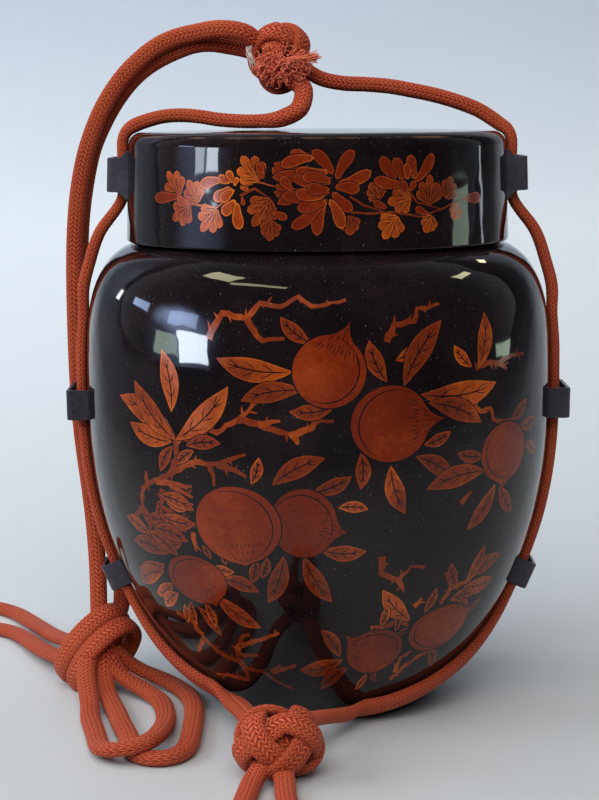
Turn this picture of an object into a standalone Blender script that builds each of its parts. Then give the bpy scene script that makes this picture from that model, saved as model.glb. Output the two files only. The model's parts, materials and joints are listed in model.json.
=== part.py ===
"""Round black lacquered storage jar with a lift-off lid, carried by one braided red cord.

The jar is a turned barrel with a raised neck, and the drum-shaped lid drops over that neck and
rests on the shoulder. Six flat strap loops stand at the two sides, on the lid, the belly and the
lower body. The cord runs from a button knot above the lid down through the loops of each side to
a second button knot in front of the foot, and its doubled carrying loop falls down the left side
into a slip knot with a bow. Metres, +Z up, origin at the centre of the underside, front at -Y.
"""

import bmesh
import bpy
import numpy as np
from math import acos, ceil, cos, pi, radians, sin, sqrt
from mathutils import Matrix, Vector

MM = 0.001

# Jar body
FOOT_RADIUS = 0.053
BELLY_RADIUS = 0.1095
BELLY_HEIGHT = 0.150
BELLY_FULLNESS = 2.4
SHOULDER_HEIGHT = 0.2205
SHOULDER_CENTRE_RADIUS = 0.060
SHOULDER_FULLNESS = 3.4
BODY_WALL = 0.004
FLOOR_WALL = 0.005
FOOT_RING_WIDTH = 0.006
FOOT_RECESS = 0.0025
FOOT_EDGE = 0.0008

# Lid
LID_RADIUS = 0.0897
LID_TAPER = 0.0017
LID_HEIGHT = 0.0517
LID_WALL = 0.0035
LID_TOP_WALL = 0.004
LID_EDGE_RADIUS = 0.0065
LID_CROWN = 0.0012
LID_RIM_BEVEL = 0.0012

# Neck under the lid
NECK_HEIGHT = 0.030
NECK_WALL = 0.003
NECK_FIT = 0.0008

# Gap between pieces that touch
TOUCH_GAP = 0.0003

# Strap loops: height, length from front to back, height of the band
LID_LOOP_RISE = 0.0307
LID_LOOP_LENGTH = 0.028
LID_LOOP_BAND = 0.0158
LID_LOOP_FLARE = 0.0035
SIDE_LOOP_SHARE = 0.95
SIDE_LOOP_LENGTH = 0.034
SIDE_LOOP_BAND = 0.0142
LOWER_LOOP_SHARE = 0.407
LOWER_LOOP_LENGTH = 0.024
LOWER_LOOP_BAND = 0.0130
STRAP_THICKNESS = 0.0016
STRAP_CORNER = 0.0030
STRAP_ROOT = 0.006

# Cord, as a round tube of the soft braid's mean thickness, and its play in the loops
CORD_DIAMETER = 0.0064
SLOT_PLAY = 0.0005
CORD_STEP = 1.6 * CORD_DIAMETER
LOOP_REACH = CORD_DIAMETER + 2 * SLOT_PLAY + STRAP_THICKNESS

# Facets
TURN_STEPS = 48
OUTSIDE_STEPS = (9, 7)
INSIDE_STEPS = (6, 4)
KNOT_FACETS = (24, 14)
TAIL_KNOT_FACETS = (14, 8)

# Knots: centre, half-widths along their own axes, and how they are turned (degrees)
TOP_KNOT = Vector((-17.0, 0.0, 303.5)) * MM
TOP_KNOT_RADII = Vector((15.5, 17.6, 15.5)) * MM
TOP_KNOT_TURN = (78.0, 0.0, 18.0)
FRONT_KNOT = Vector((-18.5, -130.0, 15.2)) * MM
FRONT_KNOT_RADII = Vector((20.5, 19.0, 16.6)) * MM
FRONT_KNOT_TURN = (0.0, 0.0, 10.0)
SLIP_KNOT = Vector((-108.0, 6.0, 18.0)) * MM
SLIP_KNOT_RADII = Vector((15.0, 17.0, 24.0)) * MM
SLIP_KNOT_TURN = (14.0, 39.0, 0.0)
TAIL_KNOT_RADII = Vector((6.5, 7.5, 6.0)) * MM
LEFT_TAIL_KNOT = Vector((-34.0, -206.0, 5.2)) * MM
RIGHT_TAIL_KNOT = Vector((-13.0, -204.0, 5.2)) * MM

# Lobes of the knots: half-width in cord diameters, depth and lift as shares of the knot's radius;
# flat spot at an exit: half-width and cleared half-width in cord diameters, and its place as a
# share of the knot's radius
LOBE_HALF_WIDTH = 0.62
LOBE_DEPTH = 0.18
LOBE_LIFT = 0.08
EXIT_FLAT = 0.6
EXIT_CLEAR = 1.3
EXIT_SHARE = 0.96

# Each strand lies close to the lid and the body between these places: on the lid's edge (degrees
# from the top), then (height above the foot, degrees turned forwards from the side)
STRAND_TURN = 2.2
LID_EDGE_EASE = 0.0009
LID_EDGE_TURNS = (20, 45, 70)
SIDE_LINE = [
    (184, 2.2), (170, 2.3), (156, 2.4), (142.5, 2.5), (128, 2.6), (113, 3.0), (99, 3.2), (86, 3.2),
    (73, 3.0), (62.5, 2.8), (52, 4.0),
]
LEFT_FOOT_LINE = [(42.5, 8), (34.5, 14), (27.5, 21.5), (22.0, 29.5), (18.0, 37.5), (15.2, 45)]
RIGHT_FOOT_LINE = [
    (42.5, 9), (34.5, 16), (27.5, 24), (22.0, 33), (17.0, 43), (13.4, 53), (11.0, 63), (9.8, 73),
]

# Cord routes away from the vessel, in millimetres, from knot to knot
LEFT_TOP_ROUTE = [
    (-6.5, -16.5, 284), (-9, -20.5, 279), (-16.5, -21.5, 275.4), (-26, -17.5, 274.2),
    (-36, -13, 274.2), (-46, -10, 275), (-55, -7.5, 276.4), (-64, -6, 277), (-73, -4.5, 276.2),
]
RIGHT_TOP_ROUTE = [
    (12, -2, 291.4), (23, -2, 290.8), (34, -2.5, 289.8), (45, -3, 287.8), (56, -3, 285.4),
    (66, -3, 282.4), (75.5, -3, 278.6),
]
SHOULDER_ROUTE = [(102.4, -3.8, 222.4), (107.6, -3.9, 207.7), (110.4, -4, 196.5)]
LEFT_FRONT_ROUTE = [(-39, -62, 11.2), (-35, -78, 13.0), (-32.5, -94, 15.6)]
RIGHT_FRONT_ROUTE = [(9.5, -74.5, 9.6), (2.5, -88, 13), (-3.2, -101, 16.2)]
OUTER_ROUTE = [
    (-37.4, -5.6, 315.8), (-46.5, -3.6, 316.4), (-56, -0.4, 314.9), (-64.8, 1, 313), (-73.6, 2.4, 309.4),
    (-82.2, 3.8, 303.3), (-90.2, 5.4, 295.7), (-96.5, 7.2, 287.6), (-101.6, 9, 279.3),
    (-106, 10.9, 269.8), (-109.5, 12.8, 260.3), (-112, 14.8, 251), (-114.2, 17, 240),
    (-116, 19.6, 226), (-117.2, 22, 208), (-117.6, 23.6, 190), (-117.6, 24.4, 170),
    (-117.2, 24.6, 150), (-116.2, 24.6, 130), (-114.4, 24, 112), (-112, 22.4, 94),
    (-110, 19.6, 77), (-108.6, 15.6, 61), (-107.8, 11, 46),
]
INNER_ROUTE = [
    (-41, 6.2, 309.2), (-49, 5.8, 310.4), (-56.6, 5.4, 309.9), (-64, 6.8, 307.6), (-72.2, 8.7, 304.1),
    (-80.3, 10.8, 299.4), (-87.2, 12.9, 293.6), (-93, 15, 286.9), (-98.4, 17, 279),
    (-103.2, 19.1, 270.2), (-107.3, 21.3, 261), (-110.2, 23.5, 250.4), (-112.6, 25.8, 238.6),
    (-114.4, 28.2, 226), (-115.6, 30.2, 208), (-115.8, 31.6, 190), (-115.6, 32.2, 170),
    (-115, 32.4, 150), (-113.8, 32.4, 130), (-111.6, 32, 112), (-108, 30.4, 94),
    (-103.8, 27.4, 77), (-100, 23.4, 61), (-97, 18.6, 47),
]
BIGHT_ROUTE = [
    (-121.5, 26.5, 21.6), (-128, 40, 18.4), (-136.5, 62, 13.4), (-146.5, 90, 8.4), (-157, 117, 4.8),
    (-168.5, 139, 3.4), (-182, 151, 3.4), (-196.5, 151.5, 3.4), (-207.5, 143, 3.4),
    (-210.5, 129, 3.4), (-204.5, 116.5, 3.4), (-192, 109.5, 3.4), (-178, 106.5, 3.4),
    (-165, 98, 3.6), (-154, 80, 4.6), (-144.5, 57, 6.8), (-135, 37, 9.4), (-129.5, 26, 11.2),
]
OUTER_BOW_ROUTE = [
    (-84.5, 2, 9.7), (-77.6, 0.6, 6.6), (-71.4, -4.2, 4.2), (-65.8, -13, 3.4), (-61.4, -26, 3.4),
    (-58.9, -41, 3.4), (-58, -57, 3.4), (-58, -72, 3.4), (-58.4, -84, 3.4), (-59.8, -96, 3.4),
    (-62.6, -106, 3.4), (-66.8, -113.4, 3.4), (-71.6, -116, 3.4), (-76, -112.6, 3.4),
    (-80.6, -102, 3.4), (-86.2, -83, 3.4), (-90.4, -67, 3.4), (-94, -50, 3.4), (-98, -35, 4.0),
    (-101.5, -22, 5.6),
]
INNER_BOW_ROUTE = [
    (-94.5, -10, 11.0), (-87.4, -15, 7.4), (-80.2, -22, 4.4), (-75.2, -31, 3.4), (-72.6, -43, 3.4),
    (-71, -56, 3.6), (-70.4, -70, 5.2), (-71.4, -86, 8.2), (-73.8, -99, 10.4), (-77.4, -109, 10.8),
    (-82.6, -115, 10.2), (-88.4, -114.6, 7.8), (-93.2, -107, 5.0), (-97.6, -93, 3.4),
    (-101.8, -76, 3.4), (-105.6, -58, 3.4), (-110.4, -38, 3.8), (-115.5, -23, 5.8),
]
LEFT_TAIL_ROUTE = [
    (-29.8, -151.4, 3.6), (-31.2, -164, 3.4), (-32.6, -176, 3.4), (-33.6, -188, 3.6),
]
RIGHT_TAIL_ROUTE = [
    (-15.6, -151.6, 3.6), (-15.2, -164, 3.4), (-14.4, -176, 3.4), (-13.5, -187, 3.6),
]

SIDES = (("left", -1), ("right", 1))


def material(name, colour, roughness, metallic=0.0):
    made = bpy.data.materials.new(name)
    made.use_nodes = True
    shader = made.node_tree.nodes["Principled BSDF"]
    shader.inputs["Base Color"].default_value = (*colour, 1.0)
    shader.inputs["Roughness"].default_value = roughness
    shader.inputs["Metallic"].default_value = metallic
    return made


def added(name, mesh, finish, place=(0, 0, 0)):
    """A new object in the scene, with its mesh shaded smooth up to 40 degrees."""
    mesh.shade_smooth()
    mesh.set_sharp_from_angle(angle=radians(40))
    piece = bpy.data.objects.new(name, mesh)
    piece.data.materials.append(finish)
    piece.location = place
    bpy.context.scene.collection.objects.link(piece)
    return piece


def turned(name, outline):
    """Mesh of an outline of (radius, height) turned about Z; its ends lie on the axis."""
    bm = bmesh.new()
    points = [bm.verts.new((r, 0, z)) for r, z in outline]
    edges = [bm.edges.new(pair) for pair in zip(points, points[1:])]
    bmesh.ops.spin(
        bm, geom=points + edges, cent=(0, 0, 0), axis=(0, 0, 1), angle=2 * pi,
        steps=TURN_STEPS, use_merge=True, use_duplicate=False,
    )
    bmesh.ops.remove_doubles(bm, verts=bm.verts, dist=1e-6)
    bmesh.ops.recalc_face_normals(bm, faces=bm.faces)
    mesh = bpy.data.meshes.new(name)
    bm.to_mesh(mesh)
    bm.free()
    return mesh


# Outline of the body

def body_radius(z):
    """Outer radius of the body at a height."""
    if z < BELLY_HEIGHT:
        share = 1 - (1 - z / BELLY_HEIGHT) ** BELLY_FULLNESS
        return FOOT_RADIUS + (BELLY_RADIUS - FOOT_RADIUS) * share
    rise = (z - BELLY_HEIGHT) / (SHOULDER_HEIGHT - BELLY_HEIGHT)
    share = (1 - rise**SHOULDER_FULLNESS) ** (1 / SHOULDER_FULLNESS)
    return SHOULDER_CENTRE_RADIUS + (BELLY_RADIUS - SHOULDER_CENTRE_RADIUS) * share


def body_slope(z):
    """How fast the body's radius grows with height."""
    reach = BELLY_HEIGHT / 1000
    return (body_radius(z + reach) - body_radius(z - reach)) / (2 * reach)


def shoulder_height(radius):
    """Height of the shoulder's upper side at a radius."""
    share = (radius - SHOULDER_CENTRE_RADIUS) / (BELLY_RADIUS - SHOULDER_CENTRE_RADIUS)
    rise = (1 - share**SHOULDER_FULLNESS) ** (1 / SHOULDER_FULLNESS)
    return BELLY_HEIGHT + (SHOULDER_HEIGHT - BELLY_HEIGHT) * rise


def body_outline(inner_end, lower_steps, shoulder_steps):
    """(radius, height) from the foot's outer edge to the shoulder at radius inner_end."""
    outline = []
    for k in range(lower_steps):
        z = BELLY_HEIGHT * (k / lower_steps) ** 1.15
        outline.append((body_radius(z), z))
    half_width = BELLY_RADIUS - SHOULDER_CENTRE_RADIUS
    rise = SHOULDER_HEIGHT - BELLY_HEIGHT
    share = (inner_end - SHOULDER_CENTRE_RADIUS) / half_width
    last = acos(share ** (SHOULDER_FULLNESS / 2))
    for k in range(shoulder_steps + 1):
        turn = last * k / shoulder_steps
        r = SHOULDER_CENTRE_RADIUS + half_width * cos(turn) ** (2 / SHOULDER_FULLNESS)
        z = BELLY_HEIGHT + rise * sin(turn) ** (2 / SHOULDER_FULLNESS)
        outline.append((r, z))
    return outline


def offset(outline, distance):
    """The outline moved sideways by a distance, outwards from the axis where it is positive."""
    moved = []
    for k, (r, z) in enumerate(outline):
        r0, z0 = outline[max(k - 1, 0)]
        r1, z1 = outline[min(k + 1, len(outline) - 1)]
        length = sqrt((r1 - r0) ** 2 + (z1 - z0) ** 2)
        moved.append((r + distance * (z1 - z0) / length, z - distance * (r1 - r0) / length))
    return moved


def lid_inner_radius():
    return LID_RADIUS - LID_TAPER - LID_WALL


def neck_radius():
    return lid_inner_radius() - NECK_FIT


def lid_bottom():
    """The lid rests on the shoulder at its inner edge."""
    return shoulder_height(lid_inner_radius()) + TOUCH_GAP


def lid_top():
    return lid_bottom() + LID_HEIGHT


# Jar

def jar_outline():
    inside_floor = FOOT_RECESS + FLOOR_WALL
    neck_top = SHOULDER_HEIGHT + NECK_HEIGHT
    neck_inner = neck_radius() - NECK_WALL
    rim = NECK_WALL / 3
    outer = body_outline(neck_radius(), *OUTSIDE_STEPS)
    wall = offset(body_outline(neck_inner, *INSIDE_STEPS), -BODY_WALL)
    inner = [(r, z) for r, z in wall if z > inside_floor + BODY_WALL and r > neck_inner]
    floor_radius = body_radius(inside_floor) - 2 * BODY_WALL
    ring_inner = FOOT_RADIUS - FOOT_RING_WIDTH
    outline = [(0, FOOT_RECESS), (ring_inner - FOOT_EDGE, FOOT_RECESS), (ring_inner, 0)]
    outline += [(FOOT_RADIUS - FOOT_EDGE, 0), (FOOT_RADIUS, FOOT_EDGE)]
    outline += outer[1:]
    outline += [(neck_radius(), neck_top - rim), (neck_radius() - rim, neck_top)]
    outline += [(neck_inner + rim, neck_top), (neck_inner, neck_top - rim)]
    outline += [(neck_inner, shoulder_height(neck_inner) - BODY_WALL)]
    outline += inner[::-1]
    outline += [(floor_radius, inside_floor), (0, inside_floor)]
    return outline


# Lid

def lid_radius(z):
    """Outer radius of the lid's side at a height."""
    return LID_RADIUS - LID_TAPER * (z - lid_bottom()) / LID_HEIGHT


def lid_outline():
    """(radius, height above the lid's own rim), from the top's centre round to its underside."""
    bottom, top = 0, LID_HEIGHT
    edge_z = top - LID_CROWN - LID_EDGE_RADIUS
    edge_r = lid_radius(lid_bottom() + edge_z) - LID_EDGE_RADIUS
    inner = lid_inner_radius()
    inner_top = top - LID_CROWN - LID_TOP_WALL
    inner_edge = LID_EDGE_RADIUS - LID_WALL
    outline = [(0, top), (edge_r / 2, top - LID_CROWN / 4), (edge_r, top - LID_CROWN)]
    for k in range(1, 5):
        turn = pi / 2 * k / 4
        outline.append((edge_r + LID_EDGE_RADIUS * sin(turn), edge_z + LID_EDGE_RADIUS * cos(turn)))
    outline += [(LID_RADIUS, bottom + LID_RIM_BEVEL), (LID_RADIUS - LID_RIM_BEVEL, bottom)]
    outline += [(inner, bottom), (inner, inner_top - inner_edge), (inner - inner_edge, inner_top)]
    outline += [(0, inner_top)]
    return outline


# Strap loops

def strap_loop(name, anchor, normal, length, band, flare, skin, finish):
    """A flat strap bent into a staple: its two legs end on the skin that it is fixed to."""
    normal = normal.normalized()
    along = Vector((0, 1, 0))
    up = normal.cross(along)
    if up.z < 0:
        up.negate()
    leg_end = 0.3 * LOOP_REACH
    line = [(-STRAP_ROOT, -length / 2), (0, -length / 2), (leg_end, -length / 2)]
    for k in range(4):
        turn = pi / 2 * k / 3
        line.append((LOOP_REACH - STRAP_CORNER * (1 - sin(turn)),
                     -length / 2 + STRAP_CORNER * (1 - cos(turn))))
    line += [(n, -t) for n, t in reversed(line)]
    bm = bmesh.new()
    rows = []
    for k, (n, t) in enumerate(line):
        n0, t0 = line[max(k - 1, 0)]
        n1, t1 = line[min(k + 1, len(line) - 1)]
        run = Vector((n1 - n0, t1 - t0)).normalized()
        inwards = Vector((-run.y, run.x)) * STRAP_THICKNESS
        rooted = max(1 - max(n, 0) / (0.5 * LOOP_REACH), 0) ** 2
        half = band / 2 + flare * rooted
        row = []
        for dn, dt in ((0, 0), (inwards.x, inwards.y)):
            spot = normal * (n + dn) + along * (t + dt)
            row += [bm.verts.new(spot - up * half), bm.verts.new(spot + up * half)]
        rows.append(row)
    for a, b in zip(rows, rows[1:]):
        bm.faces.new((a[0], a[1], b[1], b[0]))
        bm.faces.new((a[3], a[2], b[2], b[3]))
        bm.faces.new((a[1], a[3], b[3], b[1]))
        bm.faces.new((a[2], a[0], b[0], b[2]))
    for row in (rows[0], rows[-1]):
        bm.faces.new((row[0], row[1], row[3], row[2]))
    bmesh.ops.recalc_face_normals(bm, faces=bm.faces)
    mesh = bpy.data.meshes.new(name)
    bm.to_mesh(mesh)
    bm.free()
    piece = added(name, mesh, finish, anchor)
    trim = piece.modifiers.new("fit to the surface", "BOOLEAN")
    trim.operation = "DIFFERENCE"
    trim.object = skin
    return piece


def skin_cutter(name, outline, finish):
    """A closed solid just outside a surface, which trims what is fixed to that surface."""
    low, high = outline[0][1], outline[-1][1]
    piece = added(name, turned(name, [(0, low)] + outline + [(0, high)]), finish)
    piece.hide_render = True
    piece.display_type = "WIRE"
    return piece


def make_loops(finish):
    body_side = offset(body_outline(neck_radius(), *OUTSIDE_STEPS), TOUCH_GAP)
    body_skin = skin_cutter("body_skin", body_side, finish)
    side = [(lid_radius(z), z) for z in (lid_bottom(), lid_top() - LID_EDGE_RADIUS - LID_CROWN)]
    lid_skin = skin_cutter("lid_skin", offset(side, TOUCH_GAP), finish)
    lid_loop_height = lid_bottom() + LID_LOOP_RISE
    for word, hand in SIDES:
        spot = Vector((hand * lid_radius(lid_loop_height), 0, lid_loop_height))
        strap_loop(f"lid_loop_{word}", spot, Vector((hand, 0, LID_TAPER / LID_HEIGHT)),
                   LID_LOOP_LENGTH, LID_LOOP_BAND, LID_LOOP_FLARE, lid_skin, finish)
        for place, share, length, band in (
            ("side", SIDE_LOOP_SHARE, SIDE_LOOP_LENGTH, SIDE_LOOP_BAND),
            ("lower", LOWER_LOOP_SHARE, LOWER_LOOP_LENGTH, LOWER_LOOP_BAND),
        ):
            height = share * BELLY_HEIGHT
            spot = Vector((hand * body_radius(height), 0, height))
            strap_loop(f"{place}_loop_{word}", spot, Vector((hand, 0, -body_slope(height))),
                       length, band, 0.0, body_skin, finish)


# Knots

def ball_reach(way, radii, turn):
    """Distance from a knot's centre to its round hull along a direction."""
    own = turn.transposed() @ way.normalized()
    return 1 / sqrt(sum((own[k] / radii[k]) ** 2 for k in range(3)))


def woven_strand(leads, bights, swing):
    """Directions and lifts along a closed cord that weaves over and under itself on a ball."""
    steps = 60 * leads
    ways, lifts = [], []
    for k in range(steps):
        round_about = 2 * pi * leads * k / steps
        phase = bights * round_about / leads
        latitude = radians(swing) * cos(phase)
        ways.append((cos(latitude) * cos(round_about), cos(latitude) * sin(round_about),
                     sin(latitude)))
        lifts.append(sin(2 * phase))
    return np.array(ways), np.array(lifts)


def knot(name, centre, radii, turn_degrees, weave, facets, exits, finish):
    """A knot as one solid: a core with the cord's woven lobes on it and a flat spot at each exit.

    It is flattened where it lies on the table, at z = 0.
    """
    leads, bights, swing = weave
    turn = Matrix.Rotation(radians(turn_degrees[2]), 3, "Z")
    turn = turn @ Matrix.Rotation(radians(turn_degrees[1]), 3, "Y")
    turn = turn @ Matrix.Rotation(radians(turn_degrees[0]), 3, "X")
    ways, lifts = woven_strand(leads, bights, swing)
    mean = sum(radii) / 3
    lowest = -centre.z
    flats = []
    for filled in (True, False):
        for point in exits:
            leave = (point - centre).normalized()
            flats.append((leave, ball_reach(leave, radii, turn) * EXIT_SHARE, filled))
    bm = bmesh.new()
    bmesh.ops.create_uvsphere(bm, u_segments=facets[0], v_segments=facets[1], radius=1)
    for vert in bm.verts:
        own = np.array(vert.co.normalized())
        apart = np.arccos(np.clip(ways @ own, -1, 1)) * mean / (LOBE_HALF_WIDTH * CORD_DIAMETER)
        dome = np.sqrt(np.clip(1 - apart**2, 0, 1))
        lobe = float(np.max(dome * (1 - LOBE_LIFT + LOBE_LIFT * lifts)))
        way = turn @ Vector(own)
        spot = way * ball_reach(way, radii, turn) * (1 - LOBE_DEPTH + LOBE_DEPTH * lobe)
        for leave, flat, filled in flats:
            along = spot.dot(leave)
            beside = (spot - leave * along).length / CORD_DIAMETER
            if filled and 0 < along < flat and beside < EXIT_FLAT:
                spot += leave * (flat - along)
            if along > flat and beside < EXIT_CLEAR:
                spot += leave * (flat - along)
        spot.z = max(spot.z, lowest)
        vert.co = turn.transposed() @ spot
    bmesh.ops.recalc_face_normals(bm, faces=bm.faces)
    mesh = bpy.data.meshes.new(name)
    bm.to_mesh(mesh)
    bm.free()
    piece = added(name, mesh, finish, centre)
    piece.rotation_euler = turn.to_euler()

    def port(point):
        """Where the cord that comes from a point meets the knot."""
        way = (point - centre).normalized()
        return centre + way * (ball_reach(way, radii, turn) * EXIT_SHARE + TOUCH_GAP)

    return port


# Cord

def smooth_line(points, step):
    """Points a step apart on a centripetal Catmull-Rom curve through the route's own points."""
    ends = [points[0] * 2 - points[1]] + points + [points[-1] * 2 - points[-2]]
    fine = []
    for p0, p1, p2, p3 in zip(ends, ends[1:], ends[2:], ends[3:]):
        k0, k1, k2 = (max((b - a).length, 1e-9) ** 0.5 for a, b in ((p0, p1), (p1, p2), (p2, p3)))
        start = ((p1 - p0) / k0 - (p2 - p0) / (k0 + k1) + (p2 - p1) / k1) * k1
        end = ((p2 - p1) / k1 - (p3 - p1) / (k1 + k2) + (p3 - p2) / k2) * k1
        for k in range(12):
            u = k / 12
            fine.append((2 * u**3 - 3 * u**2 + 1) * p1 + (u**3 - 2 * u**2 + u) * start
                        + (3 * u**2 - 2 * u**3) * p2 + (u**3 - u**2) * end)
    fine.append(points[-1])
    travel = [0.0]
    for a, b in zip(fine, fine[1:]):
        travel.append(travel[-1] + (b - a).length)
    count = max(ceil(travel[-1] / step), 2)
    spaced, k = [], 0
    for n in range(count):
        want = travel[-1] * n / count
        while travel[k + 1] < want:
            k += 1
        share = (want - travel[k]) / (travel[k + 1] - travel[k])
        spaced.append(fine[k].lerp(fine[k + 1], share))
    return spaced + [points[-1]]


def cord(name, points, start, end, finish):
    """A tube through its points from one knot's port to another's."""
    line = smooth_line([start(points[0])] + points + [end(points[-1])], CORD_STEP)
    curve = bpy.data.curves.new(name, "CURVE")
    curve.dimensions = "3D"
    curve.bevel_depth = CORD_DIAMETER / 2
    curve.bevel_resolution = 2
    curve.use_fill_caps = True
    spline = curve.splines.new("POLY")
    spline.points.add(len(line) - 1)
    for slot, point in zip(spline.points, line):
        slot.co = (*point, 1)
    piece = bpy.data.objects.new(name, curve)
    curve.materials.append(finish)
    bpy.context.scene.collection.objects.link(piece)


def in_metres(route, hand=1):
    return [Vector((hand * x, y, z)) * MM for x, y, z in route]


def around(hand, degrees, radius, z):
    """A point at a radius, turned forwards from the left or right side."""
    turn = radians(degrees)
    return Vector((hand * radius * cos(turn), -radius * sin(turn), z))


def beside_lid(hand):
    """The strand's centre on the lid's edge and in the lid's loop."""
    away = CORD_DIAMETER / 2 + SLOT_PLAY
    edge_z = lid_top() - LID_CROWN - LID_EDGE_RADIUS
    edge_r = lid_radius(edge_z) - LID_EDGE_RADIUS
    reach = LID_EDGE_RADIUS + away + LID_EDGE_EASE
    points = []
    for degrees in LID_EDGE_TURNS:
        turn = radians(degrees)
        points.append(around(hand, STRAND_TURN, edge_r + reach * sin(turn),
                             edge_z + reach * cos(turn)))
    for rise in (LID_LOOP_BAND / 2, 0, -LID_LOOP_BAND / 2 - CORD_DIAMETER / 2):
        z = lid_bottom() + LID_LOOP_RISE + rise
        points.append(around(hand, STRAND_TURN, lid_radius(z) + away, z))
    return points


def beside_body(hand, line):
    """The strand's centre along the body."""
    away = CORD_DIAMETER / 2 + SLOT_PLAY
    points = []
    for height, degrees in line:
        z = height * MM
        slope = body_slope(z)
        tilt = sqrt(1 + slope**2)
        points.append(around(hand, degrees, body_radius(z) + away / tilt, z - away * slope / tilt))
    return points


def make_cords(finish):
    left = in_metres(LEFT_TOP_ROUTE) + beside_lid(-1) + in_metres(SHOULDER_ROUTE, -1)
    left += beside_body(-1, SIDE_LINE + LEFT_FOOT_LINE) + in_metres(LEFT_FRONT_ROUTE)
    right = in_metres(RIGHT_TOP_ROUTE) + beside_lid(1) + in_metres(SHOULDER_ROUTE)
    right += beside_body(1, SIDE_LINE + RIGHT_FOOT_LINE) + in_metres(RIGHT_FRONT_ROUTE)
    outer, inner = in_metres(OUTER_ROUTE), in_metres(INNER_ROUTE)
    bight = in_metres(BIGHT_ROUTE)
    outer_bow, inner_bow = in_metres(OUTER_BOW_ROUTE), in_metres(INNER_BOW_ROUTE)
    tails = (("left", LEFT_TAIL_KNOT, in_metres(LEFT_TAIL_ROUTE)),
             ("right", RIGHT_TAIL_KNOT, in_metres(RIGHT_TAIL_ROUTE)))
    top = knot("knot_top", TOP_KNOT, TOP_KNOT_RADII, TOP_KNOT_TURN, (3, 4, 58), KNOT_FACETS,
               [left[0], right[0], outer[0], inner[0]], finish)
    front = knot("knot_front", FRONT_KNOT, FRONT_KNOT_RADII, FRONT_KNOT_TURN, (3, 4, 56),
                 KNOT_FACETS, [left[-1], right[-1]] + [route[0] for _, _, route in tails], finish)
    slip = knot("knot_slip", SLIP_KNOT, SLIP_KNOT_RADII, SLIP_KNOT_TURN, (2, 3, 40), KNOT_FACETS,
                [outer[-1], inner[-1], bight[0], bight[-1], outer_bow[0], outer_bow[-1],
                 inner_bow[0], inner_bow[-1]], finish)
    cord("cord_left", left, top, front, finish)
    cord("cord_right", right, top, front, finish)
    cord("cord_carry_outer", outer, top, slip, finish)
    cord("cord_carry_inner", inner, top, slip, finish)
    cord("cord_bight", bight, slip, slip, finish)
    cord("cord_bow_outer", outer_bow, slip, slip, finish)
    cord("cord_bow_inner", inner_bow, slip, slip, finish)
    for word, centre, route in tails:
        stop = knot(f"knot_tail_{word}", centre, TAIL_KNOT_RADII, (0.0, 0.0, 0.0), (2, 3, 45),
                    TAIL_KNOT_FACETS, [route[-1]], finish)
        cord(f"cord_tail_{word}", route, front, stop, finish)


def main():
    for old in list(bpy.data.objects):
        bpy.data.objects.remove(old, do_unlink=True)
    lacquer = material("black lacquer", (0.012, 0.010, 0.013), 0.12)
    red_cord = material("red braid", (0.52, 0.075, 0.035), 0.85)
    added("jar", turned("jar", jar_outline()), lacquer)
    added("lid", turned("lid", lid_outline()), lacquer, (0, 0, lid_bottom()))
    make_loops(lacquer)
    make_cords(red_cord)


main()
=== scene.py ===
# %% [markdown]
# # A lacquered storage jar and its red carrying cord
#
# The real object is a turned wooden jar with a drop-over lid, black lacquered, painted in
# vermilion and carried by one long braided cord that runs through strap loops at its sides.
# This lesson dresses the plain solid model of the jar piece by piece: first the camera, then the
# cord with its knots and loose threads, the painting, the turned body and lid, the strap loops,
# and last the floor and the lights.

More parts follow.
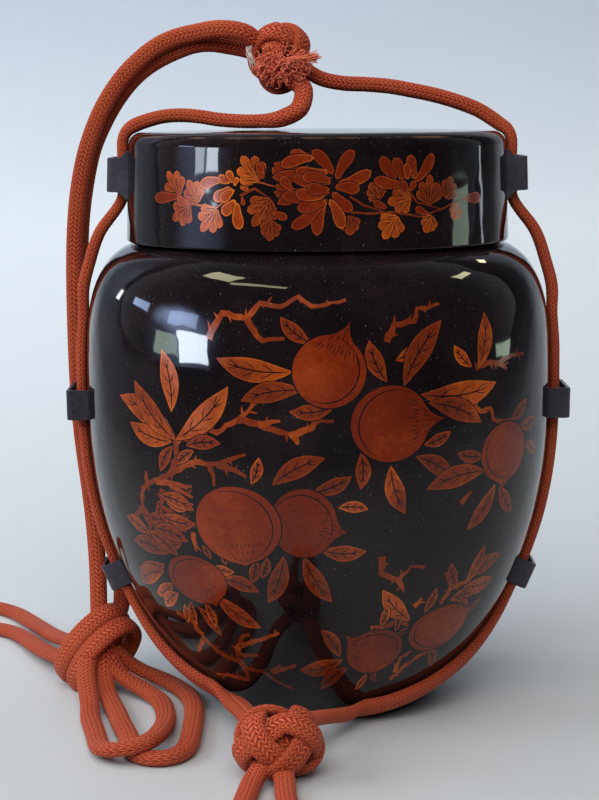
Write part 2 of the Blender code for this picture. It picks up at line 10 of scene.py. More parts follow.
# %% Load the frame
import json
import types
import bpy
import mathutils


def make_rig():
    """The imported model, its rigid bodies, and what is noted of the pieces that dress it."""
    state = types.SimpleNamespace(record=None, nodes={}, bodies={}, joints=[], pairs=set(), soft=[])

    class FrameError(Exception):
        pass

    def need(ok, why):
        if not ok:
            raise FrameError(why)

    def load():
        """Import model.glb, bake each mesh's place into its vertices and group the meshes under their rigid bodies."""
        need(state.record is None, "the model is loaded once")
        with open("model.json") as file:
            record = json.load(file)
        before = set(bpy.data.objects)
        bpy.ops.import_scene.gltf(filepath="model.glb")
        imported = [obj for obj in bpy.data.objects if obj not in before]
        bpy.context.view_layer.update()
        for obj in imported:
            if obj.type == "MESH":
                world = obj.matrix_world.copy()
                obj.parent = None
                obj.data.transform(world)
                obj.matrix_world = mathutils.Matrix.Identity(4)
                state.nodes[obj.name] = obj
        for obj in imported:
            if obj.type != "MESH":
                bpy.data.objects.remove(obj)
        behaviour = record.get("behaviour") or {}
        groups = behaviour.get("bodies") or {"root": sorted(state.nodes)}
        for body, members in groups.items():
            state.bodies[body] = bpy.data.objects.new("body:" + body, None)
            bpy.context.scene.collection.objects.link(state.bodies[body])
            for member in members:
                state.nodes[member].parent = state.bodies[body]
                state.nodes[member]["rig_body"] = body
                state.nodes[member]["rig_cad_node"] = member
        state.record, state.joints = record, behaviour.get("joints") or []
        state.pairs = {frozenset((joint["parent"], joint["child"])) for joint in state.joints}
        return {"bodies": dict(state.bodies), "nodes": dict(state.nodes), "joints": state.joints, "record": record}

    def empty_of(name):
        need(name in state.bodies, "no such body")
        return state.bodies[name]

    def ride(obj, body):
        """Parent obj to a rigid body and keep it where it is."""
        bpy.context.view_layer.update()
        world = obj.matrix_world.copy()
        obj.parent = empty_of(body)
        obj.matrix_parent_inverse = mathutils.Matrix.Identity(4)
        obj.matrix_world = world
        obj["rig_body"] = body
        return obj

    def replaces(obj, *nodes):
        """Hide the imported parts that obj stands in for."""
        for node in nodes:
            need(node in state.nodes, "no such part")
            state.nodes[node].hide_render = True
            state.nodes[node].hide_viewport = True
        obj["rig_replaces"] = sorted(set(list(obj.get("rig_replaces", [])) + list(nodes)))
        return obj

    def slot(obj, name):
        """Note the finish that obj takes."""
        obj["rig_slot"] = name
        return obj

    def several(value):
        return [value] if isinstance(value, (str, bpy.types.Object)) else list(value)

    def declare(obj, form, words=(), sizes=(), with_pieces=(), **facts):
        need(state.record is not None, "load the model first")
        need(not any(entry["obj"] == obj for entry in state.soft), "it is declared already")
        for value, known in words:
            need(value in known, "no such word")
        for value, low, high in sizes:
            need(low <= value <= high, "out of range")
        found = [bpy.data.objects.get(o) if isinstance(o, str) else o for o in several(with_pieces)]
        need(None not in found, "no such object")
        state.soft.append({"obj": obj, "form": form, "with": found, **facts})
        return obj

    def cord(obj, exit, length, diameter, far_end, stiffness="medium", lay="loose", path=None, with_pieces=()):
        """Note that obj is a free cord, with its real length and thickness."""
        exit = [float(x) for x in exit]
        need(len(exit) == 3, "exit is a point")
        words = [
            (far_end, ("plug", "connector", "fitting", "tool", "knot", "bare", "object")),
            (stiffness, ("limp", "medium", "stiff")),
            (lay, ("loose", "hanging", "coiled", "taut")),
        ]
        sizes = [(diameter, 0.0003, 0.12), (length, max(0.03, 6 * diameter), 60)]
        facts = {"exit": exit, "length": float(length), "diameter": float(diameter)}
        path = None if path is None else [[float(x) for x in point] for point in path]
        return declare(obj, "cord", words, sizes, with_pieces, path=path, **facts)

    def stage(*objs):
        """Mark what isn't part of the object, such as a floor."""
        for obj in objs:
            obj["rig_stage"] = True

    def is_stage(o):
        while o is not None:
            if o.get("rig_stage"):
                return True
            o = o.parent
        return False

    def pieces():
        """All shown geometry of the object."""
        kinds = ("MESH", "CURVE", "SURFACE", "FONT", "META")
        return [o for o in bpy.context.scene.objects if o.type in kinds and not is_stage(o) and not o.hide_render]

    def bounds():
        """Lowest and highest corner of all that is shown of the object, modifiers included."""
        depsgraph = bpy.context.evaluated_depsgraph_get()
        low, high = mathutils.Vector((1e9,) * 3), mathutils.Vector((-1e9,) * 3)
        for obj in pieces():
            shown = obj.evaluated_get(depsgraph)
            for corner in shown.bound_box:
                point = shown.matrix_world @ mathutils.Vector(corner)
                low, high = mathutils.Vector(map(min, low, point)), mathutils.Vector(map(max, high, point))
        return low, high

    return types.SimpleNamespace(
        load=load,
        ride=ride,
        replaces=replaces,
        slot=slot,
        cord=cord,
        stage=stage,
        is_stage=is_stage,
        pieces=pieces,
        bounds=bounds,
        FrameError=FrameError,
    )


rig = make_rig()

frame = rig.load()

import json
from math import cos, exp, pi, radians, sin, sqrt

import bmesh
import bpy
import numpy as np
from mathutils import Matrix, Vector
from mathutils.geometry import delaunay_2d_cdt

cad_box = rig.bounds()
scene = bpy.context.scene
MM = 0.001
print("nodes in the frame:", len(frame["nodes"]))


# %% [markdown]
# ## The camera
#
# The photograph looks slightly down on the jar from its front. A camera could be placed by
# hand until the outlines match, but measuring is surer: the jar's axis, its foot and the width
# of its lid give the distance, the height and the tilt. The lens stays long, so the lid's top
# edge is almost a straight line, and the camera leans by a third of a degree.

# %% Camera
CAMERA_PLACE = Vector((-0.00884, -0.945, 0.2806))
CAMERA_DIP = radians(8.34)
CAMERA_LEAN = radians(-0.3)
right = Vector((1, 0, 0))
ahead = Vector((0, cos(CAMERA_DIP), -sin(CAMERA_DIP)))
above = right.cross(ahead)
side = right * cos(CAMERA_LEAN) + above * sin(CAMERA_LEAN)
up = above * cos(CAMERA_LEAN) - right * sin(CAMERA_LEAN)
camera = bpy.data.objects.new("camera", bpy.data.cameras.new("camera"))
camera.data.sensor_width = 36
camera.data.lens = 90
camera.matrix_world = Matrix((
    (side.x, up.x, -ahead.x, CAMERA_PLACE.x),
    (side.y, up.y, -ahead.y, CAMERA_PLACE.y),
    (side.z, up.z, -ahead.z, CAMERA_PLACE.z),
    (0, 0, 0, 1),
))
scene.collection.objects.link(camera)
scene.camera = camera
print("camera", [round(x, 4) for x in CAMERA_PLACE])


# %% [markdown]
# ## Helpers for node trees
#
# A material and a Geometry Nodes tree are both graphs, and the same few lines add a node, fill
# its sockets and return its output. Writing them once keeps every later tree short.

# %% Helpers for node trees
def add_node(tree, kind, *inputs, out=0, **settings):
    """A new node with its inputs filled in order, by a value or by another node's output."""
    node = tree.nodes.new(kind)
    for name, value in settings.items():
        setattr(node, name, value)
    for slot, value in zip(node.inputs, inputs):
        if value is None:
            continue
        if isinstance(value, bpy.types.NodeSocket):
            tree.links.new(value, slot)
        else:
            slot.default_value = value
    return node.outputs[out]


def fill(node, **values):
    """Set a node's inputs by their labels; an underscore stands for a space."""
    for label, value in values.items():
        node.inputs[label.replace("_", " ")].default_value = value


def reckon(tree, operation, *values):
    """One sum on numbers, which works the same in a shader and in Geometry Nodes."""
    return add_node(tree, "ShaderNodeMath", *values, operation=operation)


def stitch_height(tree, around, along, columns, length):
    """Height, from 0 to 1, of the plait's stitches at a place around and along the cord.

    A round plait shows columns of slanting stitches, and the slant turns from column to column.
    """
    column = reckon(tree, "MULTIPLY", around, columns)
    across = reckon(tree, "FRACT", column)
    odd = reckon(tree, "FRACT", reckon(tree, "MULTIPLY", reckon(tree, "FLOOR", column), 0.5))
    slant = reckon(tree, "SUBTRACT", reckon(tree, "MULTIPLY", odd, 4.0), 1.0)
    shift = reckon(tree, "MULTIPLY", reckon(tree, "SUBTRACT", across, 0.5), slant)
    step = reckon(tree, "FRACT", reckon(tree, "ADD", reckon(tree, "DIVIDE", along, length), shift))
    hump = reckon(tree, "SINE", reckon(tree, "MULTIPLY", step, pi))
    ridge = reckon(tree, "POWER", reckon(tree, "SINE", reckon(tree, "MULTIPLY", across, pi)), 0.35)
    return reckon(tree, "POWER", reckon(tree, "MULTIPLY", hump, ridge), 0.6)


# %% [markdown]
# ## The cord's route
#
# The cord is one soft silk plait. It was measured on the photograph and routed in the solid
# model as a round tube, and the same points are used here, so that cord and solid agree. What
# the solid leaves out is that a plait lies flat where it is pressed on the lacquer or the floor
# and stays rounder where it hangs free. So each point also carries the way that its thin side
# faces and how flat it lies. At the tips of the bow the points lie up to 2 mm from the solid's,
# for a rounder bend.

# %% The cord's route, in millimetres
# A point with no height rests on the floor.
LEFT_TOP_ROUTE = [
    (-6.5, -16.5, 284), (-9, -20.5, 279), (-16.5, -21.5, 275.4), (-26, -17.5, 274.2),
    (-36, -13, 274.2), (-46, -10, 275), (-55, -7.5, 276.4), (-64, -6, 277), (-73, -4.5, 276.2),
]
RIGHT_TOP_ROUTE = [
    (12, -2, 291.4), (23, -2, 290.8), (34, -2.5, 289.8), (45, -3, 287.8), (56, -3, 285.4),
    (66, -3, 282.4), (75.5, -3, 278.6),
]
SHOULDER_ROUTE = [(102.4, -3.8, 222.4), (107.6, -3.9, 207.7), (110.4, -4, 196.5)]
LEFT_FRONT_ROUTE = [(-39, -62, 11.2), (-35, -78, 13.0), (-32.5, -94, 15.6)]
RIGHT_FRONT_ROUTE = [(9.5, -74.5, 9.6), (2.5, -88, 13), (-3.2, -101, 16.2)]
OUTER_ROUTE = [
    (-37.4, -5.6, 315.8), (-46.5, -3.6, 316.4), (-56, -0.4, 314.9), (-64.8, 1, 313),
    (-73.6, 2.4, 309.4), (-82.2, 3.8, 303.3), (-90.2, 5.4, 295.7), (-96.5, 7.2, 287.6),
    (-101.6, 9, 279.3), (-106, 10.9, 269.8), (-109.5, 12.8, 260.3), (-112, 14.8, 251),
    (-114.2, 17, 240), (-116, 19.6, 226), (-117.2, 22, 208), (-117.6, 23.6, 190),
    (-117.6, 24.4, 170), (-117.2, 24.6, 150), (-116.2, 24.6, 130), (-114.4, 24, 112),
    (-112, 22.4, 94), (-110, 19.6, 77), (-108.6, 15.6, 61), (-107.8, 11, 46),
]
INNER_ROUTE = [
    (-41, 6.2, 309.2), (-49, 5.8, 310.4), (-56.6, 5.4, 309.9), (-64, 6.8, 307.6),
    (-72.2, 8.7, 304.1), (-80.3, 10.8, 299.4), (-87.2, 12.9, 293.6), (-93, 15, 286.9),
    (-98.4, 17, 279), (-103.2, 19.1, 270.2), (-107.3, 21.3, 261), (-110.2, 23.5, 250.4),
    (-112.6, 25.8, 238.6), (-114.4, 28.2, 226), (-115.6, 30.2, 208), (-115.8, 31.6, 190),
    (-115.6, 32.2, 170), (-115, 32.4, 150), (-113.8, 32.4, 130), (-111.6, 32, 112),
    (-108, 30.4, 94), (-103.8, 27.4, 77), (-100, 23.4, 61), (-97, 18.6, 47),
]
BIGHT_ROUTE = [
    (-121.5, 26.5, 21.6), (-128, 40, 18.4), (-136.5, 62, 13.4), (-146.5, 90, 8.4),
    (-157, 117, 4.8), (-168.5, 139), (-182, 151), (-196.5, 151.5), (-207.5, 143), (-210.5, 129),
    (-204.5, 116.5), (-192, 109.5), (-178, 106.5), (-165, 98, 3.6), (-154, 80, 4.6),
    (-144.5, 57, 6.8), (-135, 37, 9.4), (-129.5, 26, 11.2),
]
OUTER_BOW_ROUTE = [
    (-84.5, 2, 9.7), (-77.6, 0.6, 6.6), (-71.4, -4.2, 4.2), (-65.8, -13), (-61.4, -26),
    (-58.9, -41), (-58, -57), (-58, -72), (-58, -84), (-58.4, -95), (-59.8, -104.5),
    (-63.6, -112.2), (-70.2, -116), (-77, -113.4), (-81.4, -106.2), (-83.8, -96), (-86.2, -83),
    (-90.4, -67), (-94, -50), (-98, -35, 4.0), (-101.5, -22, 5.6),
]
INNER_BOW_ROUTE = [
    (-94.5, -10, 11.0), (-87.4, -15, 7.4), (-80.2, -22, 4.4), (-75.2, -31), (-72.6, -43),
    (-71, -56, 3.6), (-70.4, -70, 5.2), (-71, -84, 7.6), (-71.6, -94, 9.6), (-73.2, -103.4, 10.6),
    (-76.8, -110.8, 10.8), (-82.4, -115, 10.2), (-88.8, -114.6, 8.6), (-93.8, -110.2, 6.6),
    (-96.8, -102.4, 4.8), (-98.8, -92, 3.6), (-101.8, -76), (-105.6, -58),
]
INTO_SLIP_KNOT = [(-107.6, -40, 5.0), (-110.6, -25, 9.5), (-112.0, -12, 15.0)]
LEFT_TAIL_ROUTE = [(-29.8, -151.4, 3.6), (-31.2, -164), (-32.6, -176), (-33.6, -188, 3.6)]
RIGHT_TAIL_ROUTE = [(-15.6, -151.6, 3.6), (-15.2, -164), (-14.4, -176), (-13.5, -187, 3.6)]
print("points of the bow:", len(OUTER_BOW_ROUTE) + len(INNER_BOW_ROUTE))


# %% The strand's line on the body: height above the foot, degrees turned forwards
SIDE_LINE = [
    (184, 2.2), (170, 2.3), (156, 2.4), (142.5, 2.5), (128, 2.6), (113, 3.0), (99, 3.2), (86, 3.2),
    (73, 3.0), (62.5, 2.8), (52, 4.0),
]
LEFT_FOOT_LINE = [(42.5, 8), (34.5, 14), (27.5, 21.5), (22.0, 29.5), (18.0, 37.5), (15.2, 45)]
RIGHT_FOOT_LINE = [
    (42.5, 9), (34.5, 16), (27.5, 24), (22.0, 33), (17.0, 43), (13.4, 53), (11.0, 63), (9.8, 73),
]
print("points on the left side of the jar:", len(SIDE_LINE) + len(LEFT_FOOT_LINE))


# %% [markdown]
# ## The outline that the body and the lid are turned to
#
# A turner works from a gauge, one curve for the whole body. Here it is two formulas, one below
# and one above the widest place, and the lid's side is a straight line with a slight taper.
# The strands and the painting are both laid on these curves, so they are written first.

# %% Outline of the body and the lid
FOOT_RADIUS = 0.053
BELLY_RADIUS = 0.1095
BELLY_HEIGHT = 0.150
BELLY_FULLNESS = 2.4
SHOULDER_HEIGHT = 0.2205
SHOULDER_CENTRE = 0.060
SHOULDER_FULLNESS = 3.4
LID_RADIUS = 0.0897
LID_TAPER = 0.0017
LID_BOTTOM = 0.21884
LID_HEIGHT = 0.0517
LID_TOP = LID_BOTTOM + LID_HEIGHT
LID_EDGE = 0.0065
LID_CROWN = 0.0012


def body_radius(z):
    if z < BELLY_HEIGHT:
        share = 1 - (1 - z / BELLY_HEIGHT) ** BELLY_FULLNESS
        return FOOT_RADIUS + (BELLY_RADIUS - FOOT_RADIUS) * share
    rise = min((z - BELLY_HEIGHT) / (SHOULDER_HEIGHT - BELLY_HEIGHT), 1)
    share = (1 - rise**SHOULDER_FULLNESS) ** (1 / SHOULDER_FULLNESS)
    return SHOULDER_CENTRE + (BELLY_RADIUS - SHOULDER_CENTRE) * share


def body_slope(z):
    reach = BELLY_HEIGHT / 1000
    return (body_radius(z + reach) - body_radius(z - reach)) / (2 * reach)


def lid_radius(z):
    return LID_RADIUS - LID_TAPER * (z - LID_BOTTOM) / LID_HEIGHT


print("body radius at 50, 100, 150, 200 mm:",
      [round(body_radius(z * MM) / MM, 1) for z in (50, 100, 150, 200)])


# %% [markdown]
# ## The strand's own line
#
# Every point of a strand is kept as eight numbers: its place, the way that its thin side faces,
# its half-width and its half-thickness. The first three come from the routes. A smooth line
# through them could be a Bezier curve, but a Catmull-Rom line passes through every point, never
# overshoots and blends the other numbers along with the place.

# %% Points of a strand
ROUND_HALF = (0.0039, 0.0035)
FLAT_HALF = (0.0048, 0.0023)
LIFT = 0.0002
STITCH_RELIEF = 0.0003
RESTING = 3.4
PRESSED = 0.72


def strand_point(place, thin, flat):
    """Place, thin side, half-width and half-thickness, from round (flat 0) to flat (flat 1)."""
    wide, thick = (a + (b - a) * flat for a, b in zip(ROUND_HALF, FLAT_HALF))
    return np.array([*place, *Vector(thin).normalized(), wide, thick])


def free_points(route, thin, flat, hand=1):
    """Points that hang free, as they are (hand 1) or mirrored to the left side (hand -1)."""
    thin = (hand * thin[0], thin[1], thin[2])
    return [strand_point(Vector((hand * x, y, z)) * MM, thin, flat) for x, y, z in route]


def floor_points(route, flat):
    """Points on the floor: the flat plait's middle lies lower than a round tube's.

    A tube's middle rests at RESTING millimetres. Where a strand crosses another it is pressed
    closer than the solid's tubes are.
    """
    points = []
    low = (ROUND_HALF[1] + (FLAT_HALF[1] - ROUND_HALF[1]) * flat + STITCH_RELIEF + LIFT) / MM
    for x, y, *height in route:
        z = low + max(height[0] - RESTING, 0) * PRESSED if height else low
        points.append(strand_point(Vector((x, y, z)) * MM, (0, 0, 1), flat))
    return points


# %% Points on the lid and on the body
LID_CORD_TURN = 2.2
LID_CORD_HEIGHTS = (0.2575, 0.24954, 0.2384)
EDGE_SLACK = 0.0012


def around(hand, degrees, radius, z):
    """A place on the right (hand 1) or the left (hand -1), turned forwards by some degrees."""
    turn = radians(degrees)
    return Vector((hand * radius * cos(turn), -radius * sin(turn), z))


def lid_points(hand):
    """The strand over the lid's rounded edge and down through the lid's loop."""
    away = FLAT_HALF[1] + LIFT
    edge_z = LID_TOP - LID_CROWN - LID_EDGE
    edge_r = lid_radius(edge_z) - LID_EDGE
    points = []
    for degrees, flat in ((20, 0.4), (45, 0.7), (70, 0.9)):
        turn = radians(degrees)
        reach = LID_EDGE + away + EDGE_SLACK * cos(turn)
        place = around(hand, LID_CORD_TURN, edge_r + reach * sin(turn),
                       edge_z + reach * cos(turn))
        points.append(strand_point(place, (hand * sin(turn), 0, cos(turn)), flat))
    for z in LID_CORD_HEIGHTS:
        place = around(hand, LID_CORD_TURN, lid_radius(z) + away, z)
        points.append(strand_point(place, (hand, 0, 0.03), 1.0))
    return points


def body_points(hand, line):
    """The strand along the body, its thin side on the lacquer."""
    away = FLAT_HALF[1] + LIFT
    points = []
    for height, degrees in line:
        z = height * MM
        slope = body_slope(z)
        tilt = sqrt(1 + slope**2)
        place = around(hand, degrees, body_radius(z) + away / tilt, z - away * slope / tilt)
        outwards = around(hand, degrees, 1, 0)
        points.append(strand_point(place, (outwards.x, outwards.y, -slope), 1.0))
    return points


# %% A smooth line through the points
FINE_STEPS = 16


def units(rows):
    """Every row of an array, made one unit long."""
    return rows / np.linalg.norm(rows, axis=1)[:, None]


def travelled(line):
    """How far along the line each of its points is."""
    return np.append(0, np.cumsum(np.linalg.norm(np.diff(line[:, :3], axis=0), axis=1)))


def evenly(line, step):
    """The same line with its points a step apart."""
    travel = travelled(line)
    wanted = np.linspace(0, travel[-1], int(round(travel[-1] / step)) + 1)
    return np.array([np.interp(wanted, travel, column) for column in line.T]).T


def smooth_line(points, step):
    """A Catmull-Rom line through points of any number of values, a step apart."""
    points = [np.array(p, float) for p in points]
    ends = [2 * points[0] - points[1]] + points + [2 * points[-1] - points[-2]]
    fine = []
    for p0, p1, p2, p3 in zip(ends, ends[1:], ends[2:], ends[3:]):
        k0, k1, k2 = (max(np.linalg.norm((b - a)[:3]), 1e-9) ** 0.5
                      for a, b in ((p0, p1), (p1, p2), (p2, p3)))
        start = ((p1 - p0) / k0 - (p2 - p0) / (k0 + k1) + (p2 - p1) / k1) * k1
        end = ((p2 - p1) / k1 - (p3 - p1) / (k1 + k2) + (p3 - p2) / k2) * k1
        for u in np.arange(FINE_STEPS) / FINE_STEPS:
            fine.append((2 * u**3 - 3 * u**2 + 1) * p1 + (u**3 - 2 * u**2 + u) * start
                        + (3 * u**2 - 2 * u**3) * p2 + (u**3 - u**2) * end)
    return evenly(np.array(fine + [points[-1]]), step)


# %% [markdown]
# ## Plaiting the strand
#
# The plait's stitches could be a bump in the material alone, but then its outline would stay
# smooth, and close up it would look like painted plastic. So Geometry Nodes sweep a ring along
# the line, place every ring by the strand's own width and thickness, and raise each stitch by
# 0.3 mm. The tree reads the line's numbers as attributes, so one tree makes every
# strand of the object, and the same sum that raises the stitches colours them later.

# %% Helpers for a Geometry Nodes tree
def new_tree(name, inputs):
    """A Geometry Nodes tree with a geometry input, the named inputs and a geometry output."""
    tree = bpy.data.node_groups.new(name, "GeometryNodeTree")
    tree.interface.new_socket("Geometry", in_out="INPUT", socket_type="NodeSocketGeometry")
    for label, kind, value in inputs:
        made = tree.interface.new_socket(label, in_out="INPUT", socket_type=f"NodeSocket{kind}")
        if value is not None:
            made.default_value = value
    tree.interface.new_socket("Geometry", in_out="OUTPUT", socket_type="NodeSocketGeometry")
    entry = tree.nodes.new("NodeGroupInput")
    return tree, entry.outputs, tree.nodes.new("NodeGroupOutput").inputs


def named(tree, name, kind):
    """An attribute of the geometry, read by its name."""
    return add_node(tree, "GeometryNodeInputNamedAttribute", name, data_type=kind)


def vectors(tree, operation, *values):
    """One sum on vectors; for SCALE the second value is a number, which has the fourth socket."""
    if operation == "SCALE":
        values = (values[0], None, None, values[1])
    return add_node(tree, "ShaderNodeVectorMath", *values, operation=operation)


def full_round(tree, value, fullness):
    """A sine or cosine pushed outwards, which turns an ellipse into a fuller oval."""
    size = reckon(tree, "POWER", reckon(tree, "ABSOLUTE", value), fullness)
    return reckon(tree, "MULTIPLY", size, reckon(tree, "SIGN", value))


# %% The plait's Geometry Nodes tree
STITCH_COLUMNS = 18
STITCH_LENGTH = 0.0022
STITCH_STEP = STITCH_LENGTH / 5
WAVES = (("COSINE", "half_wide", "wide_way"), ("SINE", "half_thick", "thin_way"))


def make_plait_tree():
    """Sweeps a ring along the line, shapes it by the line's attributes and raises stitches."""
    tree, given, result = new_tree("plaited strand", [
        ("Stitch columns", "Float", STITCH_COLUMNS), ("Stitch length", "Float", STITCH_LENGTH),
        ("Stitch relief", "Float", STITCH_RELIEF), ("Ring points", "Int", 65),
        ("Fullness", "Float", 0.8), ("Finish", "Material", None),
    ])
    line = add_node(tree, "GeometryNodeMeshToCurve", given["Geometry"])
    ring = add_node(tree, "GeometryNodeCurveArc", given["Ring points"])
    fill(ring.node, Radius=1.0, Start_Angle=0.0, Sweep_Angle=2 * pi)
    share = add_node(tree, "GeometryNodeSplineParameter")
    ring = add_node(tree, "GeometryNodeStoreNamedAttribute", ring, None, "around", share,
                    data_type="FLOAT", domain="POINT")
    tube = add_node(tree, "GeometryNodeCurveToMesh", line, ring)
    round_about, along = named(tree, "around", "FLOAT"), named(tree, "along", "FLOAT")
    height = stitch_height(tree, round_about, along, given["Stitch columns"],
                           given["Stitch length"])
    raised = reckon(tree, "MULTIPLY", height, given["Stitch relief"])
    angle = reckon(tree, "MULTIPLY", round_about, 2 * pi)
    reach = []
    for wave, half, way in WAVES:
        part = full_round(tree, reckon(tree, wave, angle), given["Fullness"])
        size = reckon(tree, "ADD", named(tree, half, "FLOAT"), raised)
        reach.append(vectors(tree, "SCALE", named(tree, way, "FLOAT_VECTOR"),
                             reckon(tree, "MULTIPLY", part, size)))
    place = vectors(tree, "ADD", named(tree, "centre", "FLOAT_VECTOR"),
                    vectors(tree, "ADD", *reach))
    tube = add_node(tree, "GeometryNodeSetPosition", tube, None, place)
    weave = add_node(tree, "ShaderNodeCombineXYZ", round_about, along)
    tube = add_node(tree, "GeometryNodeStoreNamedAttribute", tube, None, "plait", weave,
                    data_type="FLOAT2", domain="CORNER")
    tube = add_node(tree, "GeometryNodeMergeByDistance", tube)
    fill(tube.node, Distance=1e-6)
    tube = add_node(tree, "GeometryNodeRealizeInstances", tube)
    tube = add_node(tree, "GeometryNodeSetMaterial", tube, None, given["Finish"])
    tree.links.new(tube, result[0])
    return tree


plait_tree = make_plait_tree()
print("nodes in the plait's tree:", len(plait_tree.nodes))


# So the tree is run once on the line, its result is kept, and the modifier and the line are
# removed.

# %% Run a tree on a piece and keep its plain mesh
def triangles(mesh):
    """How many triangles a mesh has."""
    return sum(len(p.vertices) - 2 for p in mesh.polygons)


def grown(piece, tree, **inputs):
    """The mesh that a tree makes of a piece; the modifier's inputs are set by identifier."""
    growth = piece.modifiers.new("growth", "NODES")
    growth.node_group = tree
    for item in tree.interface.items_tree:
        if item.in_out == "INPUT" and item.name.replace(" ", "_").lower() in inputs:
            growth[item.identifier] = inputs[item.name.replace(" ", "_").lower()]
    bpy.context.view_layer.update()
    seen = piece.evaluated_get(bpy.context.evaluated_depsgraph_get())
    mesh = bpy.data.meshes.new_from_object(seen)
    piece.modifiers.remove(growth)
    return mesh


def new_piece(name, mesh, *finishes):
    """An object in the scene with its mesh and finishes, its origin at the world's."""
    piece = bpy.data.objects.new(name, mesh)
    for finish in finishes:
        if finish.name not in mesh.materials:
            mesh.materials.append(finish)
    scene.collection.objects.link(piece)
    return piece


# %% The mesh of a strand
def strand_mesh(name, line, finish, closed=False, drawn_out=1.0):
    """The plaited mesh of a strand, from its line of eight numbers a point.

    drawn_out is how much longer its stitches are than in a slack plait.
    """
    places = line[:, :3]
    if closed:
        run = np.roll(places, -1, axis=0) - np.roll(places, 1, axis=0)
        run[0] = run[-1] = places[1] - places[-2]
    else:
        run = np.gradient(places, axis=0)
    run = units(run)
    thin = units(line[:, 3:6] - run * np.sum(line[:, 3:6] * run, axis=1)[:, None])
    wide = np.cross(thin, run)
    along = travelled(line)
    halves = line[:, 6:8].copy()
    end = np.minimum(along, along[-1] - along) / halves[:, 1]
    along /= drawn_out
    if closed:
        along *= round(along[-1] / STITCH_LENGTH) * STITCH_LENGTH / along[-1]
    else:
        halves *= np.sqrt(np.clip(1 - (1 - np.clip(end, 0, 1)) ** 2, 0, 1))[:, None]
    mesh = bpy.data.meshes.new(name)
    mesh.from_pydata([tuple(p) for p in places],
                     [(k, k + 1) for k in range(len(places) - 1)], [])
    for label, kind, values in (
        ("centre", "FLOAT_VECTOR", places), ("thin_way", "FLOAT_VECTOR", thin),
        ("wide_way", "FLOAT_VECTOR", wide), ("half_wide", "FLOAT", halves[:, 0]),
        ("half_thick", "FLOAT", halves[:, 1]), ("along", "FLOAT", along),
    ):
        slots = mesh.attributes.new(label, kind, "POINT").data
        slots.foreach_set("vector" if kind == "FLOAT_VECTOR" else "value", values.ravel())
    guide = new_piece(name + "_line", mesh)
    made = grown(guide, plait_tree, finish=finish)
    bpy.data.objects.remove(guide)
    for label in ("centre", "thin_way", "wide_way", "half_wide", "half_thick", "along", "around"):
        if label in made.attributes:
            made.attributes.remove(made.attributes[label])
    made.shade_smooth()
    return made


# %% [markdown]
# ## The cord's silk
#
# The silk is a bright vermilion red that has faded to orange where it is handled, with a few
# pale threads. A wave or a noise alone would look like cloth, so the material uses the plait's
# own map and the same stitch sum as the mesh: high places get a painted highlight, the gaps get
# painted shade, and a very fine noise roughens the threads as a bump.

# %% Helpers for materials
def new_material(name, **constants):
    """A material, its node tree and its shader, some of whose inputs are set to constants."""
    made = bpy.data.materials.new(name)
    made.use_nodes = True
    shader = made.node_tree.nodes["Principled BSDF"]
    fill(shader, **constants)
    return made, made.node_tree, shader


def colour_steps(tree, share, *steps):
    """A colour ramp of (place, colour) steps."""
    ramp = add_node(tree, "ShaderNodeValToRGB", share).node
    while len(ramp.color_ramp.elements) < len(steps):
        ramp.color_ramp.elements.new(0.5)
    for element, (place, colour) in zip(ramp.color_ramp.elements, steps):
        element.position = place
        element.color = (*colour, 1)
    return ramp.outputs[0]


def speckle(tree, where, scale, detail=4.0):
    """Noise of a scale per metre."""
    made = add_node(tree, "ShaderNodeTexNoise", where)
    fill(made.node, Scale=scale, Detail=detail, Roughness=0.6)
    return made


def mixed(tree, share, first, second, blend="MIX"):
    """Two colours mixed by a share; each is a value or another node's output."""
    first, second = ((*c, 1) if isinstance(c, tuple) else c for c in (first, second))
    return add_node(tree, "ShaderNodeMix", share, *[None] * 5, first, second, out=2,
                    data_type="RGBA", blend_type=blend)


def bumped(tree, shader, height, strength, distance):
    """A fine relief that is seen in the shading alone."""
    bump = tree.nodes.new("ShaderNodeBump")
    fill(bump, Strength=strength, Distance=distance)
    tree.links.new(height, bump.inputs["Height"])
    tree.links.new(bump.outputs[0], shader.inputs["Normal"])


# %% Silk plait material
BLACK, WHITE = (0, 0, 0), (1, 1, 1)


def make_silk():
    """Red by the height of the stitches, with painted shade in the gaps and a painted highlight on the tops, faded in
    patches, with a few pale threads.
    """
    made, tree, shader = new_material("red silk plait", Roughness=0.7, Sheen_Weight=0.12,
                                      Sheen_Roughness=0.4, Sheen_Tint=(1, 0.45, 0.35, 1),
                                      Specular_IOR_Level=0.3)
    weave = add_node(tree, "ShaderNodeUVMap", uv_map="plait")
    parts = add_node(tree, "ShaderNodeSeparateXYZ", weave).node.outputs
    height = stitch_height(tree, parts[0], parts[1], STITCH_COLUMNS, STITCH_LENGTH)
    here = add_node(tree, "ShaderNodeTexCoord", out=3)
    # Painted shade in the gaps between stitches and a painted highlight on their tops, by the stitch height
    threads = colour_steps(tree, height, (0.15, (0.060, 0.006, 0.005)),
                           (0.5, (0.25, 0.025, 0.014)), (0.85, (0.46, 0.065, 0.028)),
                           (1.0, (0.62, 0.14, 0.055)))
    fade = colour_steps(tree, speckle(tree, here, 45.0), (0.35, BLACK), (0.7, WHITE))
    threads = mixed(tree, reckon(tree, "MULTIPLY", fade, 0.45), threads, (0.42, 0.085, 0.026))
    pale = colour_steps(tree, speckle(tree, here, 1100.0, 2.0), (0.60, BLACK), (0.72, WHITE))
    threads = mixed(tree, reckon(tree, "MULTIPLY", pale, 0.30), threads, (0.66, 0.25, 0.12))
    tree.links.new(threads, shader.inputs["Base Color"])
    fine = reckon(tree, "ADD", height, reckon(tree, "MULTIPLY", speckle(tree, here, 2600.0), 0.4))
    bumped(tree, shader, fine, 0.6, 0.0003)
    return made


silk = make_silk()
print("nodes in the silk:", len(silk.node_tree.nodes))


